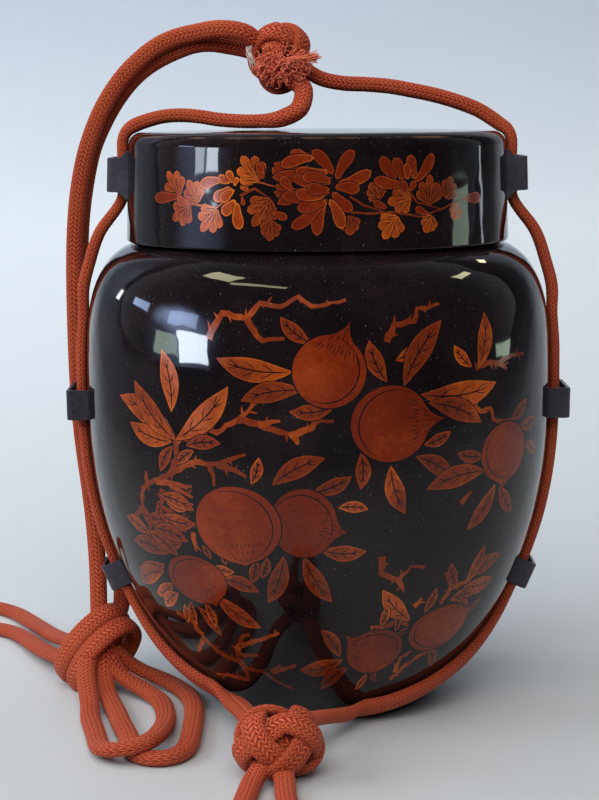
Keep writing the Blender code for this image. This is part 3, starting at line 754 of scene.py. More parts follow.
# %% [markdown]
# ## Laying the cord
#
# The real cord is one length. It could be swept in one go, but then no stretch could stand for
# its own plain tube, so each stretch between two knots is a piece, as in the solid model. The
# ends run well into the knots, so no end shows.

# %% Centres of the knots
TOP_KNOT = Vector((-17.0, 0.0, 303.5)) * MM
FRONT_KNOT = Vector((-18.5, -130.0, 15.2)) * MM
SLIP_KNOT = Vector((-108.0, 6.0, 18.0)) * MM
LEFT_TAIL_KNOT = Vector((-34.0, -206.0, 5.2)) * MM
RIGHT_TAIL_KNOT = Vector((-13.0, -204.0, 5.2)) * MM
SLIP_HEART = SLIP_KNOT + Vector((4, -4, 7)) * MM
print("from the top knot to the front knot, mm:", round((TOP_KNOT - FRONT_KNOT).length / MM))


# %% Run an end into a knot, and ease the corners
def into_knot(points, knot, share):
    """Two more points of the strand, from its last one part of the way into a knot.

    The first keeps to the strand's own direction, so that it turns into the knot smoothly.
    """
    last, before = points[-1], points[-2]
    end = last.copy()
    end[:3] += (np.array(knot) - last[:3]) * share
    middle = last.copy()
    ahead_way = (last - before)[:3] / np.linalg.norm((last - before)[:3])
    reach = np.linalg.norm((end - last)[:3])
    middle[:3] = last[:3] + 0.25 * ahead_way * reach + 0.25 * (end - last)[:3]
    return points + [middle, end]


def eased(line, reach):
    """The line with its corners rounded: each place is averaged with those within reach."""
    half = int(reach / STITCH_STEP)
    if not half:
        return line
    weights = np.hanning(2 * half + 1)
    weights /= weights.sum()
    soft = line.copy()
    for column in range(3):
        ends = (2 * line[0, column] - line[half:0:-1, column],
                2 * line[-1, column] - line[-2:-half - 2:-1, column])
        soft[:, column] = np.convolve(np.concatenate([ends[0], line[:, column], ends[1]]), weights,
                                      "valid")
    return soft


# %% The points of every stretch
left = free_points(LEFT_TOP_ROUTE[:3], (0, -0.6, 1), 0.2)
left += free_points(LEFT_TOP_ROUTE[3:], (0, 0, 1), 0.45)
left += lid_points(-1) + free_points(SHOULDER_ROUTE, (1, 0, 0.35), 0.8, -1)
left += body_points(-1, SIDE_LINE + LEFT_FOOT_LINE)
left += free_points(LEFT_FRONT_ROUTE, (0.25, -0.25, -1), 0.8)
right_side = free_points(RIGHT_TOP_ROUTE, (0.1, 0, 1), 0.25)
right_side += lid_points(1) + free_points(SHOULDER_ROUTE, (1, 0, 0.35), 0.8)
right_side += body_points(1, SIDE_LINE + RIGHT_FOOT_LINE)
right_side += free_points(RIGHT_FRONT_ROUTE, (-0.25, -0.25, -1), 0.8)
arc_side = (0, 1, 0.15)
outer = free_points(OUTER_ROUTE, arc_side, 0.0)
inner = free_points(INNER_ROUTE, arc_side, 0.0)
bight = floor_points(BIGHT_ROUTE, 0.6)
outer_bow = floor_points(OUTER_BOW_ROUTE, 0.6)
inner_bow = floor_points(INNER_BOW_ROUTE, 0.6) + free_points(INTO_SLIP_KNOT, (0, -0.4, 1), 0.5)
left_tail = floor_points(LEFT_TAIL_ROUTE, 0.4)
right_tail = floor_points(RIGHT_TAIL_ROUTE, 0.4)


# %% Every stretch of the cord
# Name, points, how far the two ends run into which knots, how the stretch lies, and over how
# many millimetres its corners are eased
STRETCHES = [
    ("cord_left", left, (TOP_KNOT, 0.5), (FRONT_KNOT, 0.5), "loose", 0),
    ("cord_right", right_side, (TOP_KNOT, 0.7), (FRONT_KNOT, 0.5), "loose", 0),
    ("cord_carry_outer", outer, (TOP_KNOT, 0.5), (SLIP_KNOT, 0.75), "hanging", 5),
    ("cord_carry_inner", inner, (TOP_KNOT, 0.5), (SLIP_KNOT, 0.75), "hanging", 5),
    ("cord_bight", bight, (SLIP_KNOT, 0.5), (SLIP_KNOT, 0.5), "loose", 9),
    ("cord_bow_outer", outer_bow, (SLIP_HEART, 0.8), (SLIP_HEART, 0.9), "loose", 11),
    ("cord_bow_inner", inner_bow, (SLIP_HEART, 0.8), (SLIP_HEART, 0.7), "loose", 11),
    ("cord_tail_left", left_tail, (FRONT_KNOT, 0.5), (LEFT_TAIL_KNOT, 0.6), "loose", 9),
    ("cord_tail_right", right_tail, (FRONT_KNOT, 0.5), (RIGHT_TAIL_KNOT, 0.6), "loose", 9),
]
BEND_SPAN = 7
DRAWN_OUT = 1.25


def tightest_bend(line):
    """The smallest radius of the circles through three points, each some steps apart."""
    places = line[:, :3]
    before, here = places[:-2 * BEND_SPAN], places[BEND_SPAN:-BEND_SPAN]
    after = places[2 * BEND_SPAN:]
    twice_area = np.linalg.norm(np.cross(here - before, after - before), axis=1)
    sides = [np.linalg.norm(a - b, axis=1)
             for a, b in ((here, before), (after, here), (after, before))]
    return (sides[0] * sides[1] * sides[2] / (2 * twice_area + 1e-12)).min()


stretches = {}
for name, points, start, end, lay, ease in STRETCHES:
    points = into_knot(into_knot(points[::-1], *start)[::-1], *end)
    line = eased(smooth_line(points, STITCH_STEP), ease * MM)
    drawn_out = DRAWN_OUT if "bow" in name or "bight" in name else 1.0
    piece = new_piece("plait_" + name.removeprefix("cord_"),
                      strand_mesh(name, line, silk, drawn_out=drawn_out))
    length, width = float(travelled(line)[-1]), 2 * float(np.median(line[:, 6]))
    stretches[name] = (piece, line, length, width, lay)
    print(name, "mm long", round(length / MM, 1), "tightest bend mm",
          round(tightest_bend(line) / MM, 1), "triangles", triangles(piece.data))


# %% [markdown]
# ## The knots
#
# A cord knot of this kind is a ball of flat turns that pass over and under each other. A round
# lump with a bump pattern would not show the dark gaps between the turns. So the same plait
# runs along a closed line that weaves over a ball: a few times round while it swings up and
# down, lifted where it passes over and pressed in where it passes under. The slip knot at the
# side is simpler: two turns side by side form a collar round the doubled cord.

# %% Woven turns
TURN_STEPS, RING_STEPS = 150, 200


def turned_by(x, y, z):
    """A turn by degrees about X, then Y, then Z."""
    turn = Matrix.Rotation(radians(z), 3, "Z") @ Matrix.Rotation(radians(y), 3, "Y")
    return turn @ Matrix.Rotation(radians(x), 3, "X")


def off_the_floor(line):
    """Lift the points whose plait would dip under the floor."""
    wide = np.cross(line[:, 3:6], units(np.gradient(line[:, :3], axis=0)))
    reach = np.hypot(wide[:, 2] * line[:, 6], line[:, 5] * line[:, 7]) + LIFT
    line[:, 2] = np.maximum(line[:, 2], reach)
    return line


def woven_turns(centre, radii, turn, weave, halves, lift):
    """Closed line of a cord that weaves round a ball of the given radii.

    weave is how often it goes round, how often it swings up, and how many degrees it swings.
    """
    leads, bights, swing = weave
    line = []
    for k in range(TURN_STEPS * leads + 1):
        round_about = 2 * pi * k / TURN_STEPS
        phase = bights * round_about / leads
        height = radians(swing) * cos(phase)
        way = Vector((cos(height) * cos(round_about), cos(height) * sin(round_about), sin(height)))
        out = Vector(w / r for w, r in zip(way, radii)).normalized()
        place = Vector(w * r for w, r in zip(way, radii))
        place += out * (lift * sin(2 * phase) - lift - halves[1])
        line.append([*(centre + turn @ place), *(turn @ out), *halves])
    return off_the_floor(evenly(np.array(line), STITCH_STEP))


# %% Rings, and a whole knot
def ring_turn(centre, turn, along, radii, halves):
    """Closed line of one flat turn round the local X axis, at a place along it."""
    line = []
    for k in range(RING_STEPS + 1):
        angle = 2 * pi * k / RING_STEPS
        way = Vector((0, cos(angle) / radii[0], sin(angle) / radii[1])).normalized()
        place = Vector((along, radii[0] * cos(angle), radii[1] * sin(angle)))
        line.append([*(centre + turn @ place), *(turn @ way), *halves])
    return off_the_floor(evenly(np.array(line), STITCH_STEP))


def knot_piece(name, lines):
    """One piece from several closed or open strands."""
    bm = bmesh.new()
    for k, line in enumerate(lines):
        closed = np.linalg.norm(line[0, :3] - line[-1, :3]) < 1e-6
        part = strand_mesh(f"{name}_{k}", line, silk, closed)
        bm.from_mesh(part)
        bpy.data.meshes.remove(part)
    mesh = bpy.data.meshes.new(name)
    bm.to_mesh(mesh)
    bm.free()
    piece = new_piece(name, mesh, silk)
    print(name, "strands", len(lines), "triangles", triangles(mesh))
    return piece


# %% The knots themselves
top_turn, front_turn = turned_by(78, 0, 18), turned_by(0, 0, 10)
slip_turn = turned_by(0, 39, 0) @ turned_by(0, 0, -35)
top_knot = knot_piece("top_knot", [
    woven_turns(TOP_KNOT, Vector((15.5, 17.6, 15.5)) * MM, top_turn, (3, 4, 58),
                (0.0047, 0.0020), 0.0016),
    woven_turns(TOP_KNOT, Vector((9.5, 10.5, 9.5)) * MM, top_turn, (2, 3, 40),
                (0.0042, 0.0020), 0.0012),
])
front_knot = knot_piece("front_knot", [
    woven_turns(FRONT_KNOT, Vector((20.5, 19.0, 16.6)) * MM, front_turn, (3, 4, 56),
                (0.0053, 0.0021), 0.0017),
    woven_turns(FRONT_KNOT, Vector((13.5, 12.0, 10.5)) * MM, front_turn, (2, 3, 42),
                (0.0046, 0.0021), 0.0014),
])
slip_knot = knot_piece("slip_knot", [
    ring_turn(SLIP_KNOT, slip_turn, 0.0049, (0.0145, 0.0205), (0.0048, 0.0020)),
    ring_turn(SLIP_KNOT, slip_turn, -0.0049, (0.0148, 0.0210), (0.0048, 0.0020)),
    woven_turns(SLIP_KNOT, Vector((9.0, 11.0, 16.0)) * MM, turned_by(0, 39, 0), (2, 3, 45),
                (0.0042, 0.0020), 0.0012),
])
tail_knots = [
    knot_piece(f"tail_knot_{word}", [
        woven_turns(centre, Vector((6.5, 7.5, 6.0)) * MM, turned_by(90, 0, 0), (2, 3, 46),
                    (0.0032, 0.0015), 0.0011)])
    for word, centre in (("left", LEFT_TAIL_KNOT), ("right", RIGHT_TAIL_KNOT))
]


# %% [markdown]
# ## The frayed end
#
# The silk has come loose in a soft tuft at the top knot, and a little at the ends of the two
# tails. Hair curves would be quick, but the model is exported as plain meshes. So loose threads
# are drawn as guide lines, each a small loop or a stray end, and a Geometry Nodes tree gives
# them thickness.

# %% Threads from guide lines
def make_thread_tree():
    """Gives every guide line a thin round body with closed ends."""
    tree, given, result = new_tree("loose threads", [
        ("Thread radius", "Float", 0.00016), ("Sides", "Int", 5), ("Finish", "Material", None),
    ])
    line = add_node(tree, "GeometryNodeMeshToCurve", given["Geometry"])
    ring = add_node(tree, "GeometryNodeCurvePrimitiveCircle", given["Sides"])
    tree.links.new(given["Thread radius"], ring.node.inputs["Radius"])
    threads = add_node(tree, "GeometryNodeCurveToMesh", line, ring)
    fill(threads.node, Fill_Caps=True)
    threads = add_node(tree, "GeometryNodeRealizeInstances", threads)
    threads = add_node(tree, "GeometryNodeSetShadeSmooth", threads)
    threads = add_node(tree, "GeometryNodeSetMaterial", threads, None, given["Finish"])
    tree.links.new(threads, result[0])
    return tree


def thread_piece(name, threads, finish, radius):
    """A piece of loose threads from their guide lines."""
    mesh = bpy.data.meshes.new(name)
    verts = [tuple(p) for t in threads for p in t]
    edges, start = [], 0
    for t in threads:
        edges += [(start + k, start + k + 1) for k in range(len(t) - 1)]
        start += len(t)
    mesh.from_pydata(verts, edges, [])
    guide = new_piece(name + "_lines", mesh)
    made = grown(guide, thread_tree, finish=finish, thread_radius=radius)
    bpy.data.objects.remove(guide)
    made.name = name
    return new_piece(name, made)


thread_tree = make_thread_tree()
print("nodes in the threads' tree:", len(thread_tree.nodes))


# %% Loose silk
def make_loose_silk(name, low, high):
    """Matt silk between two colours, with no stitches."""
    made, tree, shader = new_material(name, Roughness=0.6, Sheen_Weight=0.15)
    here = add_node(tree, "ShaderNodeTexCoord", out=3)
    tree.links.new(colour_steps(tree, speckle(tree, here, 500.0), (0.35, low), (0.65, high)),
                   shader.inputs["Base Color"])
    return made


loose_silk = make_loose_silk("loose red silk", (0.58, 0.075, 0.035), (0.92, 0.26, 0.14))
pale_silk = make_loose_silk("pale worn silk", (0.48, 0.34, 0.28), (0.72, 0.60, 0.55))


# %% Guide lines of the threads
def looped_thread(a, b, out, rise, sway):
    """A thread from a to b that stands out as a loop and sways sideways."""
    across = np.cross(b - a, out)
    across /= max(np.linalg.norm(across), 1e-9)
    share = np.linspace(0, 1, 13)[:, None]
    return (a + (b - a) * share + out * rise * np.sin(pi * share) ** 0.8
            + across * sway * np.sin(2 * pi * share))


def tuft_threads(centre, size, count):
    """Loops over an upright oval patch that faces the viewer."""
    threads = []
    while len(threads) < count:
        x, z = chance.uniform(-1, 1, 2)
        if x * x + z * z > 1:
            continue
        turn = np.arctan2(z - 0.8, x * 0.6) + chance.normal(0, 0.8)
        reach = chance.uniform(0.0018, 0.0055)
        a = np.array([centre[0] + x * size[0], centre[1] + 0.004 * (x * x + z * z),
                      centre[2] + z * size[1]])
        b = a + np.array([cos(turn), 0.1, sin(turn)]) * reach
        out = np.array([0.5 * x, -1.0, 0.5 * z]) + chance.uniform(-0.35, 0.35, 3)
        threads.append(looped_thread(a, b, out, chance.uniform(0.0015, 0.0042),
                                     chance.uniform(-0.0012, 0.0012)))
    return threads


def stray_ends(start, end, spread, count):
    """A bundle of threads that fans out towards its tip."""
    threads = []
    for _ in range(count):
        lean = chance.normal(0, 1, 3)
        share = np.linspace(0, 1, 9)[:, None]
        sway = chance.uniform(-1, 1, 3) * 0.0008
        threads.append(start + (end - start) * share + lean * spread * (0.35 + 0.65 * share**2)
                       + sway * np.sin(pi * 1.5 * share))
    return threads


# %% Tuft, wisp and tail ends
TUFT_THREADS, STRAY_THREADS, WISP_THREADS, TAIL_THREADS = 250, 80, 20, 40
FLOOR_GAP = 0.0004
chance = np.random.default_rng(3)
tuft = tuft_threads((-0.0156, -0.0154, 0.3000), (0.0112, 0.0070), TUFT_THREADS)
tuft += stray_ends(np.array([-0.0150, -0.0160, 0.3016]), np.array([-0.0006, -0.0148, 0.3034]),
                   0.0010, STRAY_THREADS)
top_tuft = thread_piece("top_tuft", tuft, loose_silk, 0.00020)
wisp = [looped_thread(np.array([-0.0312, -0.0105, 0.3078]) + chance.normal(0, 0.0007, 3),
                      np.array([-0.0290, -0.0140, 0.2995]) + chance.normal(0, 0.0010, 3),
                      np.array([-0.6, -0.8, 0.0]), chance.uniform(0.0006, 0.0018), 0.0005)
        for _ in range(WISP_THREADS)]
top_wisp = thread_piece("top_wisp", wisp, pale_silk, 0.00013)
tail_ends = []
for word, knot, way in (("left", LEFT_TAIL_KNOT, (-0.12, -1, -0.35)),
                        ("right", RIGHT_TAIL_KNOT, (0.15, -1, -0.35))):
    start = np.array(knot) + np.array(way) * 0.003
    frayed = stray_ends(start, start + np.array(way) * 0.0085, 0.0011, TAIL_THREADS)
    frayed = [np.column_stack([t[:, :2], np.maximum(t[:, 2], FLOOR_GAP)]) for t in frayed]
    tail_ends.append(thread_piece(f"tail_end_{word}", frayed, loose_silk, 0.00021))
print("loose threads:", len(tuft) + len(wisp) + 2 * TAIL_THREADS)


# It could be left as stiff meshes alone, but then nobody could tell how long it is.

PATH_STEP = 8
SLIMMEST = 6.1


def path_of(line):
    """Every eighth point of a line and its last one, with no two closer than four steps."""
    return [tuple(p) for p in line[:-PATH_STEP // 2:PATH_STEP, :3]] + [tuple(line[-1, :3])]


for piece, node in ((top_knot, "knot_top"), (front_knot, "knot_front"), (slip_knot, "knot_slip"),
                    (tail_knots[0], "knot_tail_left"), (tail_knots[1], "knot_tail_right")):
    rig.ride(piece, "root")
    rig.slot(piece, "red_cord")
    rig.replaces(piece, node)
for piece in (top_tuft, top_wisp, *tail_ends):
    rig.ride(piece, "root")
    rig.slot(piece, "red_cord")
KNOTS_OF = {"cord_left": [top_knot, front_knot, top_tuft, top_wisp],
            "cord_carry_outer": [slip_knot], "cord_tail_left": [tail_knots[0], tail_ends[0]],
            "cord_tail_right": [tail_knots[1], tail_ends[1]]}
for name, (piece, line, length, width, lay) in stretches.items():
    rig.ride(piece, "root")
    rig.slot(piece, "red_cord")
    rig.replaces(piece, name)
    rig.cord(piece, exit=tuple(line[0, :3]), length=length, diameter=min(width, length / SLIMMEST),
            far_end="knot", stiffness="limp", lay=lay, path=path_of(line),
            with_pieces=KNOTS_OF.get(name, []))
print("cords:", len(stretches), "mm in all", round(sum(s[2] for s in stretches.values()) / MM))


# %% [markdown]
# ## How the painting is laid on the lacquer
#
# The painting has no thickness, so nothing is raised for it. It could be a picture on the
# surface, but a picture has pixels and would have to come from somewhere. Here every leaf and
# petal is drawn as a small outline on the unrolled surface, in degrees round from the front and
# millimetres up. A constrained triangulation cuts the surface along all outlines at once, and
# each triangle takes the finish of the topmost shape that holds it. The surface stays one
# smooth skin, and the edges of the paint are sharp from any distance.

# %% The sheet that is painted on
GROUND, EDGE, FILL, FRUIT = range(4)
# How much brighter and more orange the painted light makes the shapes at its middle
PAINTED_LIGHT_TONE = 2.6
chance = np.random.default_rng(7)


class Sheet:
    """The unrolled surface: shapes in millimetres, in the order that they were painted.

    across is how many millimetres round the surface one degree is. Painted light makes the paint
    brighter and more orange towards one place of the sheet, given as degrees and height, and fades
    from it over a reach in millimetres.
    """

    def __init__(self, across, painted_light_at, painted_light_reach):
        self.across = across
        self.painted_light_at = self.spot(*painted_light_at)
        self.painted_light_reach = painted_light_reach
        self.shapes = []

    def spot(self, degrees, height):
        """A place on the sheet, in millimetres."""
        return np.array([degrees * self.across, height], float)

    def lay(self, outline, finish, tone):
        """Add a shape, its points taken anticlockwise."""
        outline = np.array(outline)
        x, y = outline.T
        if np.sum(x * np.roll(y, -1) - y * np.roll(x, -1)) < 0:
            outline = outline[::-1]
        # Painted light: shapes near the lit place of the sheet are brighter and more orange
        away = np.linalg.norm(outline.mean(axis=0) - self.painted_light_at) / self.painted_light_reach
        self.shapes.append((outline, finish, tone + PAINTED_LIGHT_TONE * exp(-away**2)))


# %% One leaf or petal as an outline
def midline(tip, base, bend, share):
    """Points from the base to the tip, bent sideways by a share of the length."""
    run = tip - base
    sideways = np.array([-run[1], run[0]])
    share = np.asarray(share)[:, None]
    return base + run * share + sideways * (bend * 4 * share * (1 - share))


def run_and_out(line):
    """The way along a flat line and the way across it, at each of its points."""
    run = units(np.gradient(line, axis=0))
    return run, np.column_stack([-run[:, 1], run[:, 0]])


def blade(tip, base, half, bend, inset=0.0, ends=(0.0, 1.0), steps=10):
    """Outline of a leaf or petal; half is its half-width at a share of its length."""
    length = np.linalg.norm(tip - base)
    trim = 1.6 * inset / length
    share = np.linspace(ends[0] + trim, ends[1] - trim, steps + 1)
    middle = midline(tip, base, bend, share)
    out = run_and_out(middle)[1]
    reach = np.maximum(np.array([half(s) for s in share]) - inset, 0.06)[:, None]
    reach[0] = reach[-1] = 0.05
    return np.vstack([middle + out * reach, (middle - out * reach)[::-1]])


# %% Leaf and petal
VEINS = 3


def leaf(sheet, tip, base, bend=0.06):
    """A pointed leaf: orange edge, duller inside, and the ground showing as its veins.

    Short leaves are plumper than long ones.
    """
    tip, base = sheet.spot(*tip), sheet.spot(*base)
    length = np.linalg.norm(tip - base)
    plump = min(max(0.46 - 0.0048 * length, 0.29), 0.40)
    tone = chance.uniform(-1, 1)

    def half(s):
        return plump * length / 2 * max(sin(pi * max(s, 0) ** 1.08), 0) ** 0.95 + 0.3 * (1 - s)

    sheet.lay(blade(tip, base, lambda s: half(s) + 0.45, bend, ends=(-0.01, 1.02)), GROUND, 0)
    sheet.lay(blade(tip, base, half, bend), EDGE, tone)
    sheet.lay(blade(tip, base, half, bend, 0.5), FILL, tone)
    sheet.lay(blade(tip, base, lambda s: 0.3, bend, ends=(0.06, 0.86), steps=6), GROUND, 0)
    for k in range(VEINS):
        start = 0.24 + 0.44 * k / (VEINS - 1)
        for hand in (-1, 1):
            root, reach = midline(tip, base, bend, (start, start + 0.15))
            out = np.array([-(tip - base)[1], (tip - base)[0]]) / length
            end = reach + out * hand * 0.62 * half(start + 0.15)
            sheet.lay(blade(end, root, lambda s: 0.26 - 0.1 * s, 0.05 * hand, steps=3), GROUND, 0)


def petal(sheet, tip, base, plump, bend=0.0):
    """A round-tipped petal with the ground left as a line round it."""
    tip, base = sheet.spot(*tip), sheet.spot(*base)
    length = np.linalg.norm(tip - base)
    tone = chance.uniform(-1, 1)

    def half(s):
        round_tip = sqrt(max(1 - max(s - 0.66, 0) ** 2 / 0.116, 0))
        return min(plump * length / 2, 2.6) * (0.42 + 0.58 * min(s / 0.6, 1)) * round_tip

    sheet.lay(blade(tip, base, lambda s: half(s) + 0.42, bend, ends=(0, 1.03), steps=12),
              GROUND, 0)
    sheet.lay(blade(tip, base, half, bend, steps=12), EDGE, tone)
    sheet.lay(blade(tip, base, half, bend, 0.45, steps=12), FRUIT, tone)


# %% The chrysanthemum's leaf
def lobed_leaf(sheet, tip, base):
    """A chrysanthemum's leaf: five round lobes from one stalk, set off by lines of ground."""
    tip, base = sheet.spot(*tip), sheet.spot(*base)
    length = np.linalg.norm(tip - base)
    run = (tip - base) / length
    out = np.array([-run[1], run[0]])
    tone = chance.uniform(-1, 1)
    lobes = [(base + run * length * foot, run * ahead_by + out * hand * aside_by)
             for foot, ahead_by, aside_by in ((0.02, 0.42, 0.50), (0.22, 0.52, 0.40))
             for hand in (-1, 1)]
    lobes.append((base + run * length * 0.10, run * 0.92))
    for foot, way in lobes:
        head = foot + way * length
        size = np.linalg.norm(head - foot)

        def half(s, size=size):
            round_tip = sqrt(max(1 - max(s - 0.72, 0) ** 2 / 0.079, 0))
            return min(0.30 * size, 2.1) * (0.30 + 0.70 * min(s / 0.7, 1) ** 1.4) * round_tip

        sheet.lay(blade(head, foot, lambda s: half(s) + 0.30, 0.0, ends=(0, 1.03), steps=11),
                  GROUND, 0)
        sheet.lay(blade(head, foot, half, 0.0, steps=11), EDGE, tone)
        sheet.lay(blade(head, foot, half, 0.0, 0.40, steps=11), FILL, tone)
        vein = foot + way * length * 0.7
        sheet.lay(blade(vein, foot, lambda s: 0.17, 0.0, steps=3), GROUND, 0)


# %% The twig
TWIG_STEP = 2.6


def twig(sheet, points, width=3.1, thorns=7.0, jag=0.45):
    """A knotty twig that thins towards its end, with a thorn every few millimetres."""
    points = [sheet.spot(*p) for p in points]
    tone = chance.uniform(-1, 1)
    line = [points[0]]
    for a, b in zip(points, points[1:]):
        count = max(int(np.linalg.norm(b - a) / TWIG_STEP), 1)
        line += [a + (b - a) * (k + 1) / count for k in range(count)]
    line = np.array(line)
    run, out = run_and_out(line)
    line[1:-1] += out[1:-1] * chance.uniform(-jag, jag, (len(line) - 2, 1))
    half = width / 2 * (1 - 0.6 * np.linspace(0, 1, len(line)))
    left_edge = line + out * (half * chance.uniform(0.75, 1.3, len(line)))[:, None]
    right_edge = line - out * (half * chance.uniform(0.75, 1.3, len(line)))[:, None]
    sheet.lay(np.vstack([left_edge, right_edge[::-1]]), FILL, tone)
    for k in range(1, len(line) - 1):
        if thorns and chance.random() < TWIG_STEP / thorns:
            hand = chance.choice((-1, 1))
            way = run[k] * chance.uniform(0.3, 0.9) + out[k] * hand
            reach = half[k] + chance.uniform(1.2, 2.6)
            sheet.lay(blade(line[k] + way * reach, line[k], lambda s: 0.75 * (1 - 0.8 * s), 0.0,
                            steps=3), FILL, tone)


# %% The peach
OUTLINE_POINTS, ARC_POINTS = 56, 25
STROKES = ((0.08, 0.3), (0.38, 0.58), (0.64, 0.8))


def peach(sheet, centre, wide, tall, nib, crescent):
    """A full round with a pointed nib, a crescent set off by one line, and fine strokes.

    crescent is the way that the crescent faces, in degrees.
    """
    middle = sheet.spot(*centre)
    point = middle + (sheet.spot(*nib) - middle) * 1.09
    half = np.array([wide * sheet.across / 2, tall / 2])
    tone = chance.uniform(-1, 1)
    way = (point - middle) / np.linalg.norm(point - middle)
    towards_nib = np.arctan2(way[1], way[0])
    size = float(np.mean(half))

    def outline(grow):
        ring = []
        for k in range(OUTLINE_POINTS):
            angle = towards_nib + 2 * pi * k / OUTLINE_POINTS
            spot = middle + (half + grow) * np.array([cos(angle), sin(angle)])
            off = min(k, OUTLINE_POINTS - k) / OUTLINE_POINTS * 2 * pi
            pull = (0.5 + 0.5 * cos(pi * min(off / 0.42, 1))) ** 1.7
            ring.append(spot * (1 - pull) + (point + way * grow) * pull)
        return ring

    sheet.lay(outline(0.6), GROUND, 0)
    sheet.lay(outline(0.0), FRUIT, tone)
    face = radians(crescent)
    inner = middle - np.array([cos(face), sin(face)]) * size * 0.13
    arc = []
    for k in range(ARC_POINTS):
        angle = face - 1.75 + 3.5 * k / (ARC_POINTS - 1)
        arc.append(inner + (half * 0.93) * np.array([cos(angle), sin(angle)]))
    arc = np.array(arc)
    out = units(arc - inner)
    thick = (0.3 * np.sin(np.linspace(0.15, pi - 0.15, ARC_POINTS)))[:, None]
    sheet.lay(np.vstack([arc + out * thick, (arc - out * thick)[::-1]]), GROUND, 0)
    sideways = np.array([-way[1], way[0]])
    for k in range(11):
        side = (k - 5) / 5
        root = middle + way * size * 0.35 + sideways * side * size * 0.7
        for start, end in STROKES:
            if (k + int(start * 10)) % 2 and start > 0.3:
                continue
            foot = root + (point - root) * (start + 0.05 * (k % 3))
            head = root + (point - root) * (end + 0.05 * (k % 3))
            sheet.lay(blade(head, foot, lambda s: 0.19, 0.0, steps=2), GROUND, 0)


# %% [markdown]
# ## The peach branches on the body
#
# Fruiting peach branches are a common ornament on such jars. The fruit are large and few, the
# leaves long and pointed, and thin jagged twigs fill what is left. The brush order matters:
# twigs lie under leaves, and leaves under fruit. The back can't be seen in the photograph, so
# two sprays of the front are painted there once more.

# %% Twigs on the body, in degrees from the front and millimetres up
PEACH_TWIGS = [
    [(-26, 183), (-23, 194), (-17, 192), (-14, 199), (-9, 197), (-5, 201), (-2, 197), (6, 200)],
    [(-17, 192), (-15, 187), (-13, 183), (-8, 184)],
    [(-35, 138), (-35, 130), (-37, 123), (-45, 116), (-48, 110), (-48, 101), (-47, 98)],
    [(-35, 137), (-30, 145), (-24, 143), (-19, 149), (-14, 157)], [(-32, 139), (-27, 139)],
    [(-19, 149), (-14, 147), (-6, 143), (0, 149), (3, 149)], [(-6, 143), (-5, 139)],
    [(-14, 147), (-9, 149)], [(-12, 172), (-13, 167)], [(-7, 143), (-2, 146), (0, 155)],
    [(-37, 123), (-30, 129), (-24, 129), (-17, 134)], [(-24, 129), (-20, 127), (-17, 124)],
    [(-26, 129), (-25, 124), (-25, 119)], [(-42, 118), (-35, 118), (-31, 118)],
    [(-39, 119), (-34, 115), (-31, 113)], [(-45, 116), (-45, 122)],
    [(-40, 115), (-41, 107), (-37, 104), (-31, 100)], [(-47, 99), (-41, 98), (-34, 97)],
    [(-32, 97), (-32, 88)],
    [(-39, 60), (-40, 48), (-37, 41), (-34, 36), (-29, 34), (-26, 30), (-20, 29), (-15, 23),
     (-10, 20)], [(-27, 37), (-26, 42), (-18, 47), (-12, 51)], [(-26, 42), (-23, 48), (-21, 49)],
    [(-28, 37), (-20, 38)], [(-27, 35), (-27, 23), (-34, 24), (-42, 23)], [(-17, 29), (-13, 34)],
    [(-16, 29), (-8, 34)], [(15, 182), (17, 189), (22, 190), (23, 195), (29, 197)],
    [(38, 169), (41, 170), (46, 169), (51, 172), (57, 171)], [(46, 169), (49, 166)],
    [(33, 155), (36, 158), (41, 159)],
    [(36, 152), (40, 149), (43, 150), (44, 145), (47, 143), (51, 143)], [(35, 109), (38, 114)],
    [(15, 88), (15, 80), (20, 76), (23, 82), (27, 81)], [(20, 76), (22, 70)],
    [(26, 23), (30, 30), (35, 35), (41, 36)], [(27, 27), (27, 35), (30, 38)],
    [(35, 61), (37, 68), (42, 70), (47, 82)], [(37, 68), (34, 77)], [(26, 62), (28, 66)],
    [(18, 53), (22, 56), (26, 52)], [(-47, 104), (-46, 97), (-47, 90), (-45, 83)],
    [(-47, 105), (-52, 100)], [(-46, 55), (-40, 51), (-38, 42), (-31, 34)], [(-39, 42), (-45, 34)],
]
print("twigs:", len(PEACH_TWIGS))


